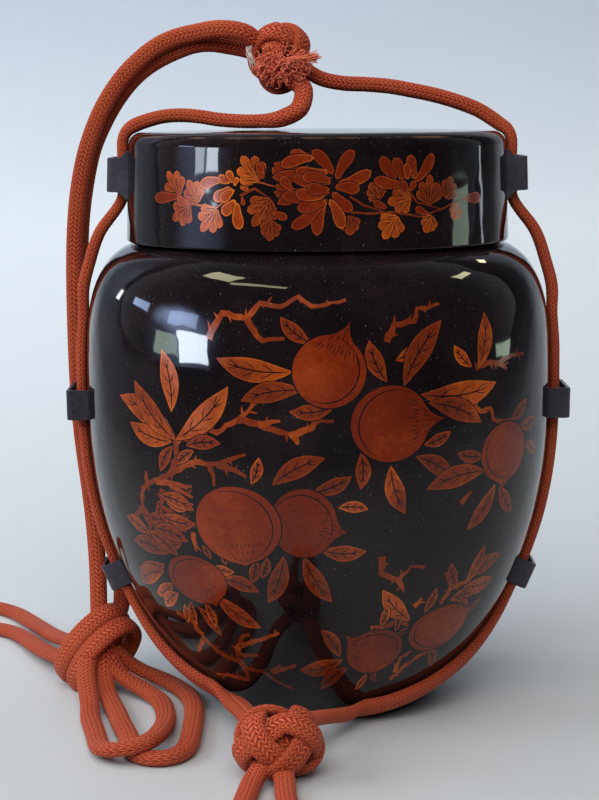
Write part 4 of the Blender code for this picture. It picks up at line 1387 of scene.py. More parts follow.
# %% Leaves on the body: tip and base
PEACH_LEAVES = [
    ((-24, 175), (-6, 170)), ((-18, 157), (-4, 162)), ((-9, 193), (-2, 182)),
    ((-54, 154), (-35, 139)), ((-50, 143), (-36, 137)), ((-39, 177), (-36, 150)),
    ((-48, 162), (-35, 138)), ((-21, 163), (-35, 138)), ((-23, 138), (-32, 136)),
    ((-40, 123), (-36, 135)), ((-7, 153), (3, 155)), ((-14, 133), (-16, 121)),
    ((1, 133), (-11, 121)), ((7, 125), (-2, 118)), ((11, 183), (15, 165)), ((23, 181), (17, 174)),
    ((29, 190), (19, 163)), ((45, 161), (23, 159)), ((40, 144), (25, 155)), ((31, 142), (24, 137)),
    ((32, 121), (22, 132)), ((20, 107), (16, 129)), ((9, 119), (9, 135)), ((42, 192), (39, 168)),
    ((32, 179), (37, 169)), ((58, 151), (51, 143)), ((33, 132), (41, 129)), ((25, 117), (42, 122)),
    ((38, 96), (46, 115)), ((55, 100), (48, 114)), ((11, 110), (4, 111)), ((64, 141), (55, 139)),
    ((65, 124), (58, 130)), ((11, 91), (0, 92)), ((-14, 66), (-9, 89)), ((3, 67), (-4, 89)),
    ((-18, 75), (-16, 87)), ((-13, 88), (-15, 78)), ((-28, 85), (-30, 91)), ((-24, 83), (-24, 91)),
    ((-39, 109), (-31, 110)), ((-47, 100), (-37, 98)), ((-48, 89), (-36, 91)),
    ((-47, 94), (-38, 84)), ((-42, 108), (-41, 98)), ((-55, 87), (-42, 84)),
    ((-57, 73), (-44, 79)), ((-59, 65), (-45, 75)), ((-52, 62), (-43, 70)), ((-50, 56), (-42, 65)),
    ((-43, 50), (-41, 60)), ((-39, 50), (-38, 62)), ((-31, 107), (-41, 112)),
    ((-31, 101), (-42, 103)), ((-34, 92), (-45, 96)), ((-56, 98), (-47, 92)),
    ((-31, 46), (-36, 60)), ((-35, 127), (-30, 134)), ((-32, 50), (-33, 63)),
    ((-17, 53), (-29, 68)), ((-16, 71), (-26, 76)), ((-22, 80), (-28, 82)), ((55, 79), (43, 72)),
    ((55, 68), (42, 68)), ((48, 63), (38, 62)), ((46, 87), (42, 69)), ((35, 81), (39, 68)),
    ((32, 70), (30, 58)), ((16, 72), (26, 55)), ((18, 64), (17, 53)), ((14, 54), (20, 50)),
    ((22, 58), (22, 50)), ((26, 51), (23, 46)), ((0, 53), (6, 38)), ((-7, 31), (7, 37)),
    ((0, 20), (9, 32)), ((13, 19), (16, 28)), ((20, 23), (18, 30)), ((44, 26), (38, 36)),
    ((42, 61), (47, 53)), ((53, 58), (48, 52)),
]
print("leaves:", len(PEACH_LEAVES))


# %% Paint the peach branches
# Each peach: centre, degrees wide, millimetres tall, nib, and the way that its crescent faces
PEACHES = [
    ((-34, 74), 18.5, 23, (-30, 62.5), 150), ((-4, 104), 15.5, 31, (5.5, 100), 60),
    ((-20, 102), 21.5, 35, (-19, 85), 20), ((2, 170), 16.5, 31, (6.5, 189.5), -30),
    ((16, 147), 18.5, 33, (28.5, 148), 160), ((49, 129), 17, 27, (49, 113), 200),
    ((38, 48), 22, 23, (47, 56), 200), ((17, 40), 18, 23, (8, 49), 50),
]
# The painted light on the body is brightest at its upper left, at -42 degrees and 182 mm
jar_sheet = Sheet(1.8, (-42, 182), 38)
for points in PEACH_TWIGS:
    twig(jar_sheet, points)
for k, (tip, base) in enumerate(PEACH_LEAVES):
    leaf(jar_sheet, tip, base, bend=0.07 * (-1) ** k)
for fruit in PEACHES:
    peach(jar_sheet, *fruit)
left_leaves = [(t, b) for t, b in PEACH_LEAVES if max(t[0], b[0]) < -14 and b[1] > 130]
right_leaves = [(t, b) for t, b in PEACH_LEAVES if min(t[0], b[0]) > 8 and b[1] > 150]
BACK_SPRAYS = ((177, PEACH_TWIGS[2:3] + PEACH_TWIGS[10:16], left_leaves, ()),
               (-183, [t for t in PEACH_TWIGS if t[0] == (15, 182)], right_leaves, PEACHES[4:5]))
for turn, twigs, leaves, fruits in BACK_SPRAYS:
    for points in twigs:
        twig(jar_sheet, [(a + turn, z) for a, z in points])
    for tip, base in leaves:
        leaf(jar_sheet, (tip[0] + turn, tip[1]), (base[0] + turn, base[1]))
    for (a, z), wide, tall, (nib_a, nib_z), crescent in fruits:
        peach(jar_sheet, (a + turn, z), wide, tall, (nib_a + turn, nib_z), crescent)
print("shapes painted on the body:", len(jar_sheet.shapes))


# %% [markdown]
# ## The chrysanthemums on the lid
#
# Three chrysanthemums stand on one wavy stem round the lid's side. A petal is a spoon with a
# round tip, drawn from the flower's heart, and a leaf is a bunch of rounded lobes.

# %% Petals, tip and base, in degrees from the front and millimetres up
LEFT_FLOWER = [
    ((-29.4, 251.2), (-25.4, 248.9)), ((-26.7, 253.3), (-24.5, 248.3)),
    ((-23, 250.7), (-24.1, 247.1)), ((-35.4, 246.5), (-28.5, 249.4)),
    ((-31, 241.5), (-25.4, 246.5)), ((-28.3, 240.1), (-24.3, 245.3)),
    ((-28.2, 235.3), (-23.9, 241.1)), ((-22.3, 228.5), (-23.2, 239.9)),
    ((-21.5, 238.7), (-21.9, 242.3)),
]
GREAT_FLOWER = [
    ((-12.6, 257), (3.4, 250.5)), ((-13, 250.8), (3.2, 248)), ((-12.6, 244.6), (3, 246)),
    ((-11.6, 239.6), (3, 244.2)), ((-7.7, 262.2), (-2.8, 259.6)), ((-2, 262.2), (3.8, 252)),
    ((9.8, 262.2), (4.9, 249.8)), ((14.6, 253.5), (5, 248)), ((11.2, 245.1), (4.4, 246.5)),
    ((9.3, 236.8), (3.8, 244.6)), ((6.2, 228.7), (2.8, 241.5)), ((-0.7, 226), (1.8, 241.6)),
    ((-7.8, 229.6), (0.4, 239)), ((-10.6, 242.8), (1.1, 238.6)), ((-6.1, 237.9), (1.5, 241)),
    ((-10.6, 255.5), (-1.4, 259)), ((-6.6, 253.8), (2.6, 253.4)), ((-12.1, 247.2), (-9.4, 245.4)),
    ((-10.2, 251.4), (-7.4, 245.4)), ((-7, 251.4), (-3.2, 246.6)), ((-6.6, 244.8), (1.5, 243)),
    ((-4.7, 250.6), (3.2, 249)), ((-3.2, 247), (2.8, 245.6)),
]
RIGHT_FLOWER = [
    ((17.8, 259.6), (21.9, 249.4)), ((21.3, 258.6), (23.7, 249)), ((26.6, 260.1), (28.2, 249.6)),
    ((34, 260.5), (27.8, 248.4)), ((15.4, 250), (24, 247.6)), ((25.2, 256.5), (25.2, 249.4)),
    ((23.9, 249), (25.8, 244.6)), ((27.8, 249), (26, 244.6)),
]
print("petals:", len(LEFT_FLOWER + GREAT_FLOWER + RIGHT_FLOWER))


# %% Leaves and stems on the lid
FLOWER_LEAVES = [
    ((-48.7, 252.5), (-43.1, 242)), ((-45.9, 231.7), (-39, 238.8)),
    ((-40.1, 249.1), (-36.1, 239.2)), ((-35, 227.4), (-29.6, 237.3)), ((-22, 259.7), (-17, 249)),
    ((-18.6, 230.2), (-13.5, 241.8)), ((-13.9, 223.9), (-13.3, 232.5)),
    ((32.9, 251.1), (32.4, 238.2)), ((40.7, 250.2), (38.9, 240.4)), ((8.4, 226.2), (8.4, 234.6)),
    ((18, 224.4), (22, 234.2)), ((30.8, 226.6), (33.6, 233.6)), ((19.4, 239.9), (26.6, 241.6)),
    ((41, 231.6), (43.5, 238.2)), ((14.3, 248.2), (17.2, 241.2)),
]
SMALL_LEAVES = [
    ((-54.9, 240.8), (-43.7, 242)), ((-8.8, 233.5), (-12.9, 235.9)),
    ((-19.8, 245.4), (-22.4, 246.5)), ((-12.3, 255.4), (-12.3, 250.6)),
    ((27.8, 237.1), (31.9, 234.4)), ((15.1, 240.1), (19, 237.5)), ((54.1, 240.2), (46.1, 240.6)),
    ((-17, 257.3), (-15.7, 250.2)),
]
FLOWER_STEMS = [
    [(-43.7, 242.3), (-39.2, 238.8), (-34.1, 238.4), (-29.8, 237.6), (-26.7, 241), (-24.1, 245.3)],
    [(-22.4, 246.5), (-17.4, 249), (-12.1, 246.9)], [(-22.4, 242.9), (-18.2, 246), (-13.5, 241.8)],
    [(-13.5, 231.5), (-13.5, 239.5)],
    [(5.6, 236.5), (13, 235.3), (21.1, 235.5), (29.4, 233.4), (36.6, 236.1), (43.6, 239.8),
     (51, 240.2)], [(25.3, 245.4), (28.5, 239.6), (36.1, 236.4)],
    [(8.5, 242.7), (12.2, 238.9), (19, 235.6)],
]
print("leaves on the lid:", len(FLOWER_LEAVES + SMALL_LEAVES))


# %% Paint the chrysanthemums
# The painted light on the lid is brightest at its left, at -32 degrees and 243 mm
lid_sheet = Sheet(1.55, (-32, 243), 24)
for points in FLOWER_STEMS:
    twig(lid_sheet, points, 1.1, 0, 0.1)
for tip, base in FLOWER_LEAVES:
    lobed_leaf(lid_sheet, tip, base)
for tip, base in SMALL_LEAVES:
    petal(lid_sheet, tip, base, 0.5)
for flower in (LEFT_FLOWER, GREAT_FLOWER, RIGHT_FLOWER):
    for k, (tip, base) in enumerate(flower):
        petal(lid_sheet, tip, base, 0.6, bend=0.07 * (-1) ** k)
print("shapes painted on the lid:", len(lid_sheet.shapes))


# %% [markdown]
# ## Turning the body and the lid
#
# Below and above the painted band the surface is a plain lathe form. The band itself has the
# same columns at its two edges, so the parts close into one skin. Triangles of all sizes would
# shade unevenly, so the band's normals are taken from the outline's formula instead.

# %% Turned skins
COLUMNS = 144


def on_surface(degrees, r, z):
    """A place at some degrees from the front, + to the right."""
    turn = radians(degrees)
    return (r * sin(turn), -r * cos(turn), z)


def lathe(outline):
    """Vertices, faces, finishes and tones of an outline turned about Z.

    A point on the axis becomes one vertex.
    """
    verts, faces, rings = [], [], []
    for r, z in outline:
        if r == 0:
            rings.append([len(verts)] * COLUMNS)
            verts.append((0, 0, z))
        else:
            rings.append(list(range(len(verts), len(verts) + COLUMNS)))
            verts += [on_surface(360 * k / COLUMNS - 180, r, z) for k in range(COLUMNS)]
    for a, b in zip(rings, rings[1:]):
        for k in range(COLUMNS):
            n = (k + 1) % COLUMNS
            faces.append(list(dict.fromkeys([a[k], a[n], b[n], b[k]])))
    return verts, faces, [GROUND] * len(faces), [0.0] * len(faces)


# %% The painted band
def painted_band(sheet, radius_at, heights):
    """Vertices, faces, finishes and tones of the band, cut along every painted shape."""
    edge = 180 * sheet.across
    across = np.linspace(-edge, edge, COLUMNS + 1)
    heights = np.asarray(heights) / MM
    points = [Vector((x, heights[0])) for x in across]
    points += [Vector((x, heights[-1])) for x in across[::-1]]
    frame_size = len(points)
    edges = [(k, (k + 1) % frame_size) for k in range(frame_size)]
    for y in heights[1:-1]:
        points += [Vector((x, y)) for x in across]
    shapes = []
    for outline, finish, tone in sheet.shapes:
        start = len(points)
        levels = np.clip(outline[:, 1], heights[0] + 0.05, heights[-1] - 0.05)
        sides = np.clip(outline[:, 0], 0.5 - edge, edge - 0.5)
        points += [Vector((float(x), float(y))) for x, y in zip(sides, levels)]
        shapes.append(list(range(start, len(points))))
    flat, _, corners, _, _, owners = delaunay_2d_cdt(points, edges, shapes, 0, 1e-5, True)
    verts = []
    for x, y in flat:
        verts.append(on_surface(x / sheet.across, radius_at(y * MM), y * MM))
    finishes, tones = [], []
    for owner in owners:
        _, finish, tone = sheet.shapes[max(owner)] if owner else (None, GROUND, 0.0)
        finishes.append(finish)
        tones.append(float(tone))
    return verts, [list(c) for c in corners], finishes, tones


# %% One closed skin
SHARP = radians(32)
WORN_HEIGHT, WORN_DEPTH = 0.0011, 0.0016


def worn(place, edges):
    """How worn a place is, from 0 to 1, by how near it is to a (radius, height) edge."""
    return max(exp(-(((place.z - z) / WORN_HEIGHT) ** 2
                     + ((place.xy.length - r) / WORN_DEPTH) ** 2)) for r, z in edges)


def band_normals(mesh, slope_at, outside, low, high):
    """The formula's normals on the band, and none where the mesh's own are to be used."""
    normals = []
    for loop in mesh.loops:
        x, y, z = mesh.vertices[loop.vertex_index].co
        r = sqrt(x * x + y * y)
        on_band = low - 1e-6 <= z <= high + 1e-6 and r > outside
        normals.append(Vector((x / r, y / r, -slope_at(z))).normalized() if on_band else (0, 0, 0))
    return normals


def turned_piece(name, below, band, above, slope_at, outside, band_heights, edges_worn):
    """One closed skin from the plain parts and the painted band.

    outside is a radius between the skin's inner and outer sides where the band is.
    """
    verts, faces, kinds, tones = [], [], [], []
    for part in (below, band, above):
        start = len(verts)
        verts += part[0]
        faces += [[start + k for k in f] for f in part[1]]
        kinds += part[2]
        tones += part[3]
    mesh = bpy.data.meshes.new(name)
    mesh.from_pydata(verts, [], faces)
    mesh.polygons.foreach_set("material_index", kinds)
    mesh.attributes.new("tone", "FLOAT", "FACE").data.foreach_set("value", tones)
    bm = bmesh.new()
    bm.from_mesh(mesh)
    bmesh.ops.remove_doubles(bm, verts=bm.verts, dist=2e-6)
    bmesh.ops.recalc_face_normals(bm, faces=bm.faces)
    bm.to_mesh(mesh)
    bm.free()
    mesh.shade_smooth()
    mesh.set_sharp_from_angle(angle=SHARP)
    wear = [worn(v.co, edges_worn) for v in mesh.vertices]
    mesh.attributes.new("wear", "FLOAT", "POINT").data.foreach_set("value", wear)
    mesh.normals_split_custom_set(band_normals(mesh, slope_at, outside, *band_heights))
    print(name, "triangles", triangles(mesh), "loose", sum(e.is_loose for e in mesh.edges))
    return new_piece(name, mesh, *FINISHES)


# %% [markdown]
# ## Lacquer and paint
#
# Lacquer is a very dark, deep gloss with a faint waviness from the brush, a little dust and
# rubbed edges. The vermilion is painted in the same lacquer, so it has nearly the same gloss.
# Each finish could have its own tree, but one function makes them all, and only the colours and
# the gloss differ.

# %% Lacquer finishes
DUST = 0.35


def make_lacquer(name, dark, mean, bright, gloss):
    """A lacquer that goes from dark to bright by each shape's own tone, painted light included, and by broad patches.
    """
    made, tree, shader = new_material(name, Specular_IOR_Level=0.29)
    here = add_node(tree, "ShaderNodeTexCoord", out=3)
    tone = add_node(tree, "ShaderNodeAttribute", attribute_name="tone", out="Fac")
    brushed = reckon(tree, "MULTIPLY_ADD", speckle(tree, here, 420.0, 3.0), 0.35, -0.175)
    share = reckon(tree, "MULTIPLY_ADD", tone, 0.10, speckle(tree, here, 28.0, 3.0))
    colour = colour_steps(tree, reckon(tree, "ADD", share, brushed), (0.25, dark), (0.5, mean),
                          (0.82, bright))
    specks = colour_steps(tree, speckle(tree, here, 1500.0, 1.0), (0.745, BLACK), (0.76, WHITE))
    colour = mixed(tree, reckon(tree, "MULTIPLY", specks, DUST), colour, (0.45, 0.42, 0.38))
    wear = add_node(tree, "ShaderNodeAttribute", attribute_name="wear", out="Fac")
    rubbed = reckon(tree, "MULTIPLY", wear, speckle(tree, here, 90.0, 4.0))
    rubbed = colour_steps(tree, rubbed, (0.40, BLACK), (0.52, WHITE))
    colour = mixed(tree, rubbed, colour, (0.085, 0.042, 0.026))
    tree.links.new(colour, shader.inputs["Base Color"])
    tree.links.new(reckon(tree, "MULTIPLY_ADD", speckle(tree, here, 14.0, 5.0), 0.10, gloss),
                   shader.inputs["Roughness"])
    bumped(tree, shader, speckle(tree, here, 70.0, 1.0), 0.35, 0.0006)
    return made


# %% The five lacquers
black_lacquer = make_lacquer("black lacquer", (0.004, 0.0032, 0.0042),
                             (0.009, 0.0055, 0.0062), (0.019, 0.011, 0.011), 0.0)
bright_edge = make_lacquer("orange vermilion line", (0.17, 0.024, 0.006),
                           (0.26, 0.040, 0.008), (0.66, 0.150, 0.016), 0.10)
dull_fill = make_lacquer("dull vermilion ground", (0.11, 0.016, 0.005),
                         (0.18, 0.026, 0.006), (0.50, 0.092, 0.011), 0.12)
brick_fruit = make_lacquer("brick red fruit", (0.11, 0.012, 0.003),
                           (0.17, 0.018, 0.004), (0.32, 0.048, 0.007), 0.10)
# A lighter grey-blue than the body's lacquer: painted sheen on the strap loops
loop_lacquer = make_lacquer("lacquer on leather with painted sheen", (0.020, 0.018, 0.024),
                            (0.045, 0.042, 0.055), (0.085, 0.080, 0.095), 0.22)
FINISHES = (black_lacquer, bright_edge, dull_fill, brick_fruit)
print("nodes in each lacquer:", len(black_lacquer.node_tree.nodes))


# %% [markdown]
# ## The body
#
# The real body is a hollow turned shell, with a low neck that the lid drops over and a foot
# ring under it. It could be a full solid, but the inside shows as soon as the lid is off,
# so the outline runs from the foot over the neck and down the inner wall to the floor.

# %% The body's outline on the inside
BODY_WALL, FLOOR_WALL, FOOT_RING, FOOT_RECESS, FOOT_EDGE = 0.004, 0.005, 0.006, 0.0025, 0.0008
NECK_OUTER, NECK_INNER, NECK_TOP, NECK_EDGE = 0.0837, 0.0807, 0.2505, 0.001
NECK_BOTTOM, INSIDE_TOP, INSIDE_LOW = 0.2165, 0.2155, 0.0125
JAR_BAND = (0.012, 0.204)
BREAK = 0.0003


def shoulder_height(r):
    """Height of the shoulder at a radius: the shoulder's formula the other way round."""
    share = (r - SHOULDER_CENTRE) / (BELLY_RADIUS - SHOULDER_CENTRE)
    rise = (1 - share**SHOULDER_FULLNESS) ** (1 / SHOULDER_FULLNESS)
    return BELLY_HEIGHT + (SHOULDER_HEIGHT - BELLY_HEIGHT) * rise


def inner_wall():
    """The body's inside, a wall's thickness in from its outside, from the neck down."""
    line = []
    for z in np.linspace(NECK_BOTTOM, INSIDE_LOW, 34):
        slope = body_slope(z)
        tilt = sqrt(1 + slope**2)
        r, height = body_radius(z) - BODY_WALL / tilt, z + BODY_WALL * slope / tilt
        if r > FOOT_RADIUS * 0.8 and (not line or height < line[-1][1]):
            line.append((r, height))
    return [(r, z) for r, z in line if z < INSIDE_TOP]


# %% The body's outlines under and over the painted band
inside_floor = FOOT_RECESS + FLOOR_WALL
ring_inner = FOOT_RADIUS - FOOT_RING
below = [(0, FOOT_RECESS), (ring_inner * 0.6, FOOT_RECESS), (ring_inner - FOOT_EDGE, FOOT_RECESS),
         (ring_inner, BREAK), (ring_inner + 0.0004, 0), (FOOT_RADIUS - FOOT_EDGE, 0),
         (FOOT_RADIUS - 0.0002, BREAK), (body_radius(FOOT_EDGE), FOOT_EDGE)]
below += [(body_radius(z), z) for z in np.linspace(FOOT_EDGE, JAR_BAND[0], 5)[1:]]
above_band = [(body_radius(JAR_BAND[1]), JAR_BAND[1])]
above_band += [(r, shoulder_height(r))
               for r in np.linspace(body_radius(JAR_BAND[1]), NECK_OUTER, 9)[1:]]
above_band += [(NECK_OUTER, shoulder_height(NECK_OUTER) + 0.001),
               (NECK_OUTER, NECK_TOP - NECK_EDGE), (NECK_OUTER - BREAK, NECK_TOP - BREAK),
               (NECK_OUTER - NECK_EDGE, NECK_TOP), (NECK_INNER + NECK_EDGE, NECK_TOP),
               (NECK_INNER + BREAK, NECK_TOP - BREAK), (NECK_INNER, NECK_TOP - NECK_EDGE),
               (NECK_INNER, NECK_BOTTOM)]
above_band += inner_wall() + [(body_radius(inside_floor) - 2 * BODY_WALL, inside_floor),
                              (0.02, inside_floor), (0, inside_floor)]
print("points of the outline:", len(below) + len(above_band))


# %% The body, in one skin
jar = turned_piece("painted_jar", lathe(below),
                   painted_band(jar_sheet, body_radius, np.linspace(*JAR_BAND, 56)),
                   lathe(above_band), body_slope, FOOT_RADIUS, JAR_BAND,
                   [(FOOT_RADIUS, 0), (NECK_OUTER, NECK_TOP)])
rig.ride(jar, "root")
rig.slot(jar, "black_lacquer")
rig.replaces(jar, "jar")


# %% [markdown]
# ## The lid
#
# The real lid is a shallow turned cap that drops over the neck, with a rounded edge and a top
# that is hardly domed. A disc with a bevel would give the edge, but not the same line as the
# cord follows over it, so the lid is turned from its outline as the body is.

# %% The lid's outline
LID_WALL, LID_TOP_WALL, LID_RIM = 0.0035, 0.004, 0.0012
edge_z = LID_TOP - LID_CROWN - LID_EDGE
edge_r = lid_radius(edge_z) - LID_EDGE
LID_BAND = (LID_BOTTOM + LID_RIM, edge_z)
lid_inner = LID_RADIUS - LID_TAPER - LID_WALL


def lid_slope(_):
    """The lid's side leans the same at every height."""
    return -LID_TAPER / LID_HEIGHT


under = LID_TOP - LID_CROWN - LID_TOP_WALL
inner_edge = LID_EDGE - LID_WALL
below = [(0, under), (0.04, under), (lid_inner - inner_edge, under)]
below += [(lid_inner - inner_edge * (1 - sin(a)), under - inner_edge * (1 - cos(a)))
          for a in (0.5, 1.0)]
below += [(lid_inner, under - inner_edge), (lid_inner, LID_BOTTOM + 0.0004),
          (lid_inner + 0.0004, LID_BOTTOM), (LID_RADIUS - LID_RIM, LID_BOTTOM),
          (LID_RADIUS - 0.0003, LID_BOTTOM + 0.0005), (lid_radius(LID_BAND[0]), LID_BAND[0])]
rounded = [(edge_r + LID_EDGE * cos(a), edge_z + LID_EDGE * sin(a))
           for a in np.linspace(0, pi / 2, 11)]
crown = [(edge_r * s, LID_TOP - LID_CROWN * s * s) for s in (0.9, 0.7, 0.5, 0.3, 0.1)]
print("points of the outline:", len(below) + len(rounded) + len(crown) + 1)


# %% The lid, in one skin
lid = turned_piece("painted_lid", lathe(below),
                   painted_band(lid_sheet, lid_radius, np.linspace(*LID_BAND, 14)),
                   lathe(rounded + crown + [(0, LID_TOP)]), lid_slope, lid_inner + 0.001, LID_BAND,
                   [(LID_RADIUS, LID_BOTTOM), (edge_r + LID_EDGE * 0.7, edge_z + LID_EDGE * 0.7)])
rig.ride(lid, "root")
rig.slot(lid, "black_lacquer")
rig.replaces(lid, "lid")


# %% [markdown]
# ## The strap loops
#
# Each loop is a short strap of lacquered leather, bent into a staple and glued on. The solid
# model has it with sharp edges. A bevel turns them into the soft, slightly rubbed edges of the
# real strap, and the legs run a little way into the lacquer.

# %% The shape of a strap
STRAP_THICKNESS, STRAP_CORNER, STRAP_DEPTH, LOOP_REACH = 0.0016, 0.003, 0.0022, 0.009
STRAP_ROUNDING = 0.0005


def strap_line(length):
    """The staple's line as (distance from the skin, place along the loop)."""
    line = [(-STRAP_DEPTH, -length / 2), (0.0, -length / 2), (0.0014, -length / 2),
            (0.3 * LOOP_REACH, -length / 2), (0.5 * LOOP_REACH, -length / 2)]
    for k in range(9):
        turn = pi / 2 * k / 8
        line.append((LOOP_REACH - STRAP_CORNER * (1 - sin(turn)),
                     -length / 2 + STRAP_CORNER * (1 - cos(turn))))
    return line + [(n, -t) for n, t in reversed(line)]


def strap_piece(name, anchor, normal, length, band, flare):
    """A strap loop of a band's width that widens by a flare at its roots."""
    normal = normal.normalized()
    along = Vector((0, 1, 0))
    up_way = normal.cross(along)
    up_way *= 1 if up_way.z > 0 else -1
    line = strap_line(length)
    bm = bmesh.new()
    rows = []
    for k, (n, t) in enumerate(line):
        n0, t0 = line[max(k - 1, 0)]
        n1, t1 = line[min(k + 1, len(line) - 1)]
        run = Vector((n1 - n0, t1 - t0)).normalized()
        inwards = Vector((-run.y, run.x)) * STRAP_THICKNESS
        rooted = max(1 - max(n, 0) / (0.5 * LOOP_REACH), 0) ** 2
        half = band / 2 + flare * rooted
        row = []
        for dn, dt in ((0, 0), (inwards.x, inwards.y)):
            spot = anchor + normal * (n + dn) + along * (t + dt)
            row += [bm.verts.new(spot - up_way * half), bm.verts.new(spot + up_way * half)]
        rows.append(row)
    for a, b in zip(rows, rows[1:]):
        for i, j in ((0, 1), (3, 2), (1, 3), (2, 0)):
            bm.faces.new((a[i], a[j], b[j], b[i]))
    for row in (rows[0], rows[-1]):
        bm.faces.new((row[0], row[1], row[3], row[2]))
    bmesh.ops.recalc_face_normals(bm, faces=bm.faces)
    mesh = bpy.data.meshes.new(name)
    bm.to_mesh(mesh)
    bm.free()
    mesh.shade_smooth()
    piece = new_piece(name, mesh, loop_lacquer)
    round_off = piece.modifiers.new("rounded edges", "BEVEL")
    round_off.width = STRAP_ROUNDING
    round_off.segments = 3
    round_off.limit_method = "ANGLE"
    round_off.angle_limit = radians(50)
    round_off.harden_normals = True
    return piece


# %% Strap loops
# Place, height of the middle, length, width of the band and flare at the roots
LOOPS = (("lid", 0.24954, 0.028, 0.0158, 0.0035), ("side", 0.1425, 0.034, 0.0142, 0.0),
         ("lower", 0.06105, 0.024, 0.0130, 0.0))
for place, height, length, band, flare in LOOPS:
    at_lid = place == "lid"
    r = lid_radius(height) if at_lid else body_radius(height)
    lean = LID_TAPER / LID_HEIGHT if at_lid else -body_slope(height)
    for word, hand in (("left", -1), ("right", 1)):
        strap = strap_piece(f"strap_{place}_{word}", Vector((hand * r, 0, height)),
                            Vector((hand, 0, lean)), length, band, flare)
        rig.ride(strap, "root")
        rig.slot(strap, "black_lacquer")
        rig.replaces(strap, f"{place}_loop_{word}")
print("strap loops:", 2 * len(LOOPS))


# %% [markdown]
# ## The table
#
# The real jar stands on a pale table in front of a pale wall. A plane would do for the shadow,
# but its far edge would show, so the table top turns up into a backdrop. Its colour is a ramp of
# a few broad steps from front to back, darker towards the sides, since only the fall of the
# light matters there: the dark front, the dim sides and the darker, bluer top of the backdrop are
# painted shade. It is stage only and isn't part of the model.

# %% Floor and backdrop
def sweep_floor():
    """A table top that turns up into a backdrop in one smooth curve, so no horizon shows."""
    outline = [(-2.5, 0.0), (0.5, 0.0)]
    outline += [(0.5 + 1.6 * sin(a), 1.6 - 1.6 * cos(a)) for a in np.linspace(0.1, pi / 2, 16)]
    outline += [(2.1, 4.0)]
    verts = [(x, y, z) for y, z in outline for x in (-4.0, 4.0)]
    faces = [(2 * k, 2 * k + 1, 2 * k + 3, 2 * k + 2) for k in range(len(outline) - 1)]
    mesh = bpy.data.meshes.new("floor")
    mesh.from_pydata(verts, [], faces)
    mesh.shade_smooth()
    return mesh


floor_paint, tree, shader = new_material("pale table", Roughness=0.55)
here = add_node(tree, "ShaderNodeTexCoord", out=3)
parts = add_node(tree, "ShaderNodeSeparateXYZ", here).node.outputs
mottle = reckon(tree, "MULTIPLY_ADD", speckle(tree, here, 3.0), 0.05, 0.3)
depth = reckon(tree, "MULTIPLY_ADD", parts[1], 0.4, mottle)
# Painted shade: the table is dark at the front and paler further back, and the backdrop turns darker and bluer high up
pale = colour_steps(tree, depth, (0.11, (0.12, 0.12, 0.12)), (0.235, (0.49, 0.49, 0.485)),
                    (0.5, (0.66, 0.68, 0.68)), (0.80, (0.83, 0.86, 0.88)),
                    (0.96, (0.60, 0.66, 0.73)))
# Painted shade: the table darkens towards the sides, less so further back
aside = reckon(tree, "ABSOLUTE", reckon(tree, "SUBTRACT", parts[0], 0.2))
spread = reckon(tree, "MULTIPLY", reckon(tree, "MAXIMUM", parts[1], 0.0), 0.45)
aside = reckon(tree, "SUBTRACT", aside, spread)
painted_side_shade = colour_steps(tree, aside, (0.42, WHITE), (0.90, (0.28, 0.28, 0.30)))
tree.links.new(mixed(tree, 1.0, pale, painted_side_shade, "MULTIPLY"), shader.inputs["Base Color"])
floor = new_piece("floor", sweep_floor(), floor_paint)
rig.stage(floor)
print("nodes in the table's finish:", len(tree.nodes))


# %% [markdown]
# ## Light
#
# Gloss black shows little of its own: what the eye reads is the room in it. The room in front is
# dark, and the walls at the sides and behind are pale. A picture of a room could be wrapped round
# the scene, but a few area lights do the same and can be placed one by one. The panes mirror as
# hard bright shapes in the lacquer, and the hazes fade to their rims, as the glow round a pane
# does. Each of these lights the body or the lid alone. The paint and the cord are lit by large
# soft lights that are kept out of reflections.

# %% World
def make_room():
    """A room that is dark in front and pale at the sides and behind."""
    world = bpy.data.worlds.new("room")
    world.use_nodes = True
    tree = world.node_tree
    ways = add_node(tree, "ShaderNodeTexCoord", out=0)
    parts = add_node(tree, "ShaderNodeSeparateXYZ", ways).node.outputs
    depth = reckon(tree, "MULTIPLY_ADD", parts[1], 0.5, 0.5)
    tone = colour_steps(tree, depth, (0.36, (0.030, 0.030, 0.036)), (0.55, (0.12, 0.13, 0.16)),
                        (0.82, (0.50, 0.55, 0.62)))
    ground = tree.nodes["Background"]
    tree.links.new(tone, ground.inputs[0])
    ground.inputs[1].default_value = 1.0
    return world


scene.world = make_room()
scene.view_settings.view_transform = "Standard"


# %% Helpers for lights
def fade_to_rim(lamp):
    """Makes a light weaker from its middle to its rim, as the haze round a bright pane is."""
    lamp.shape = "ELLIPSE"
    lamp.use_nodes = True
    tree = lamp.node_tree
    place = add_node(tree, "ShaderNodeNewGeometry", out="Parametric")
    off = add_node(tree, "ShaderNodeVectorMath", place, (0.5, 0.5, 0), operation="DISTANCE",
                   out="Value")
    strength = add_node(tree, "ShaderNodeMapRange", off, 0.04, 0.5, 1.0, 0.0,
                        interpolation_type="SMOOTHERSTEP")
    tree.links.new(strength, tree.nodes["Emission"].inputs["Strength"])


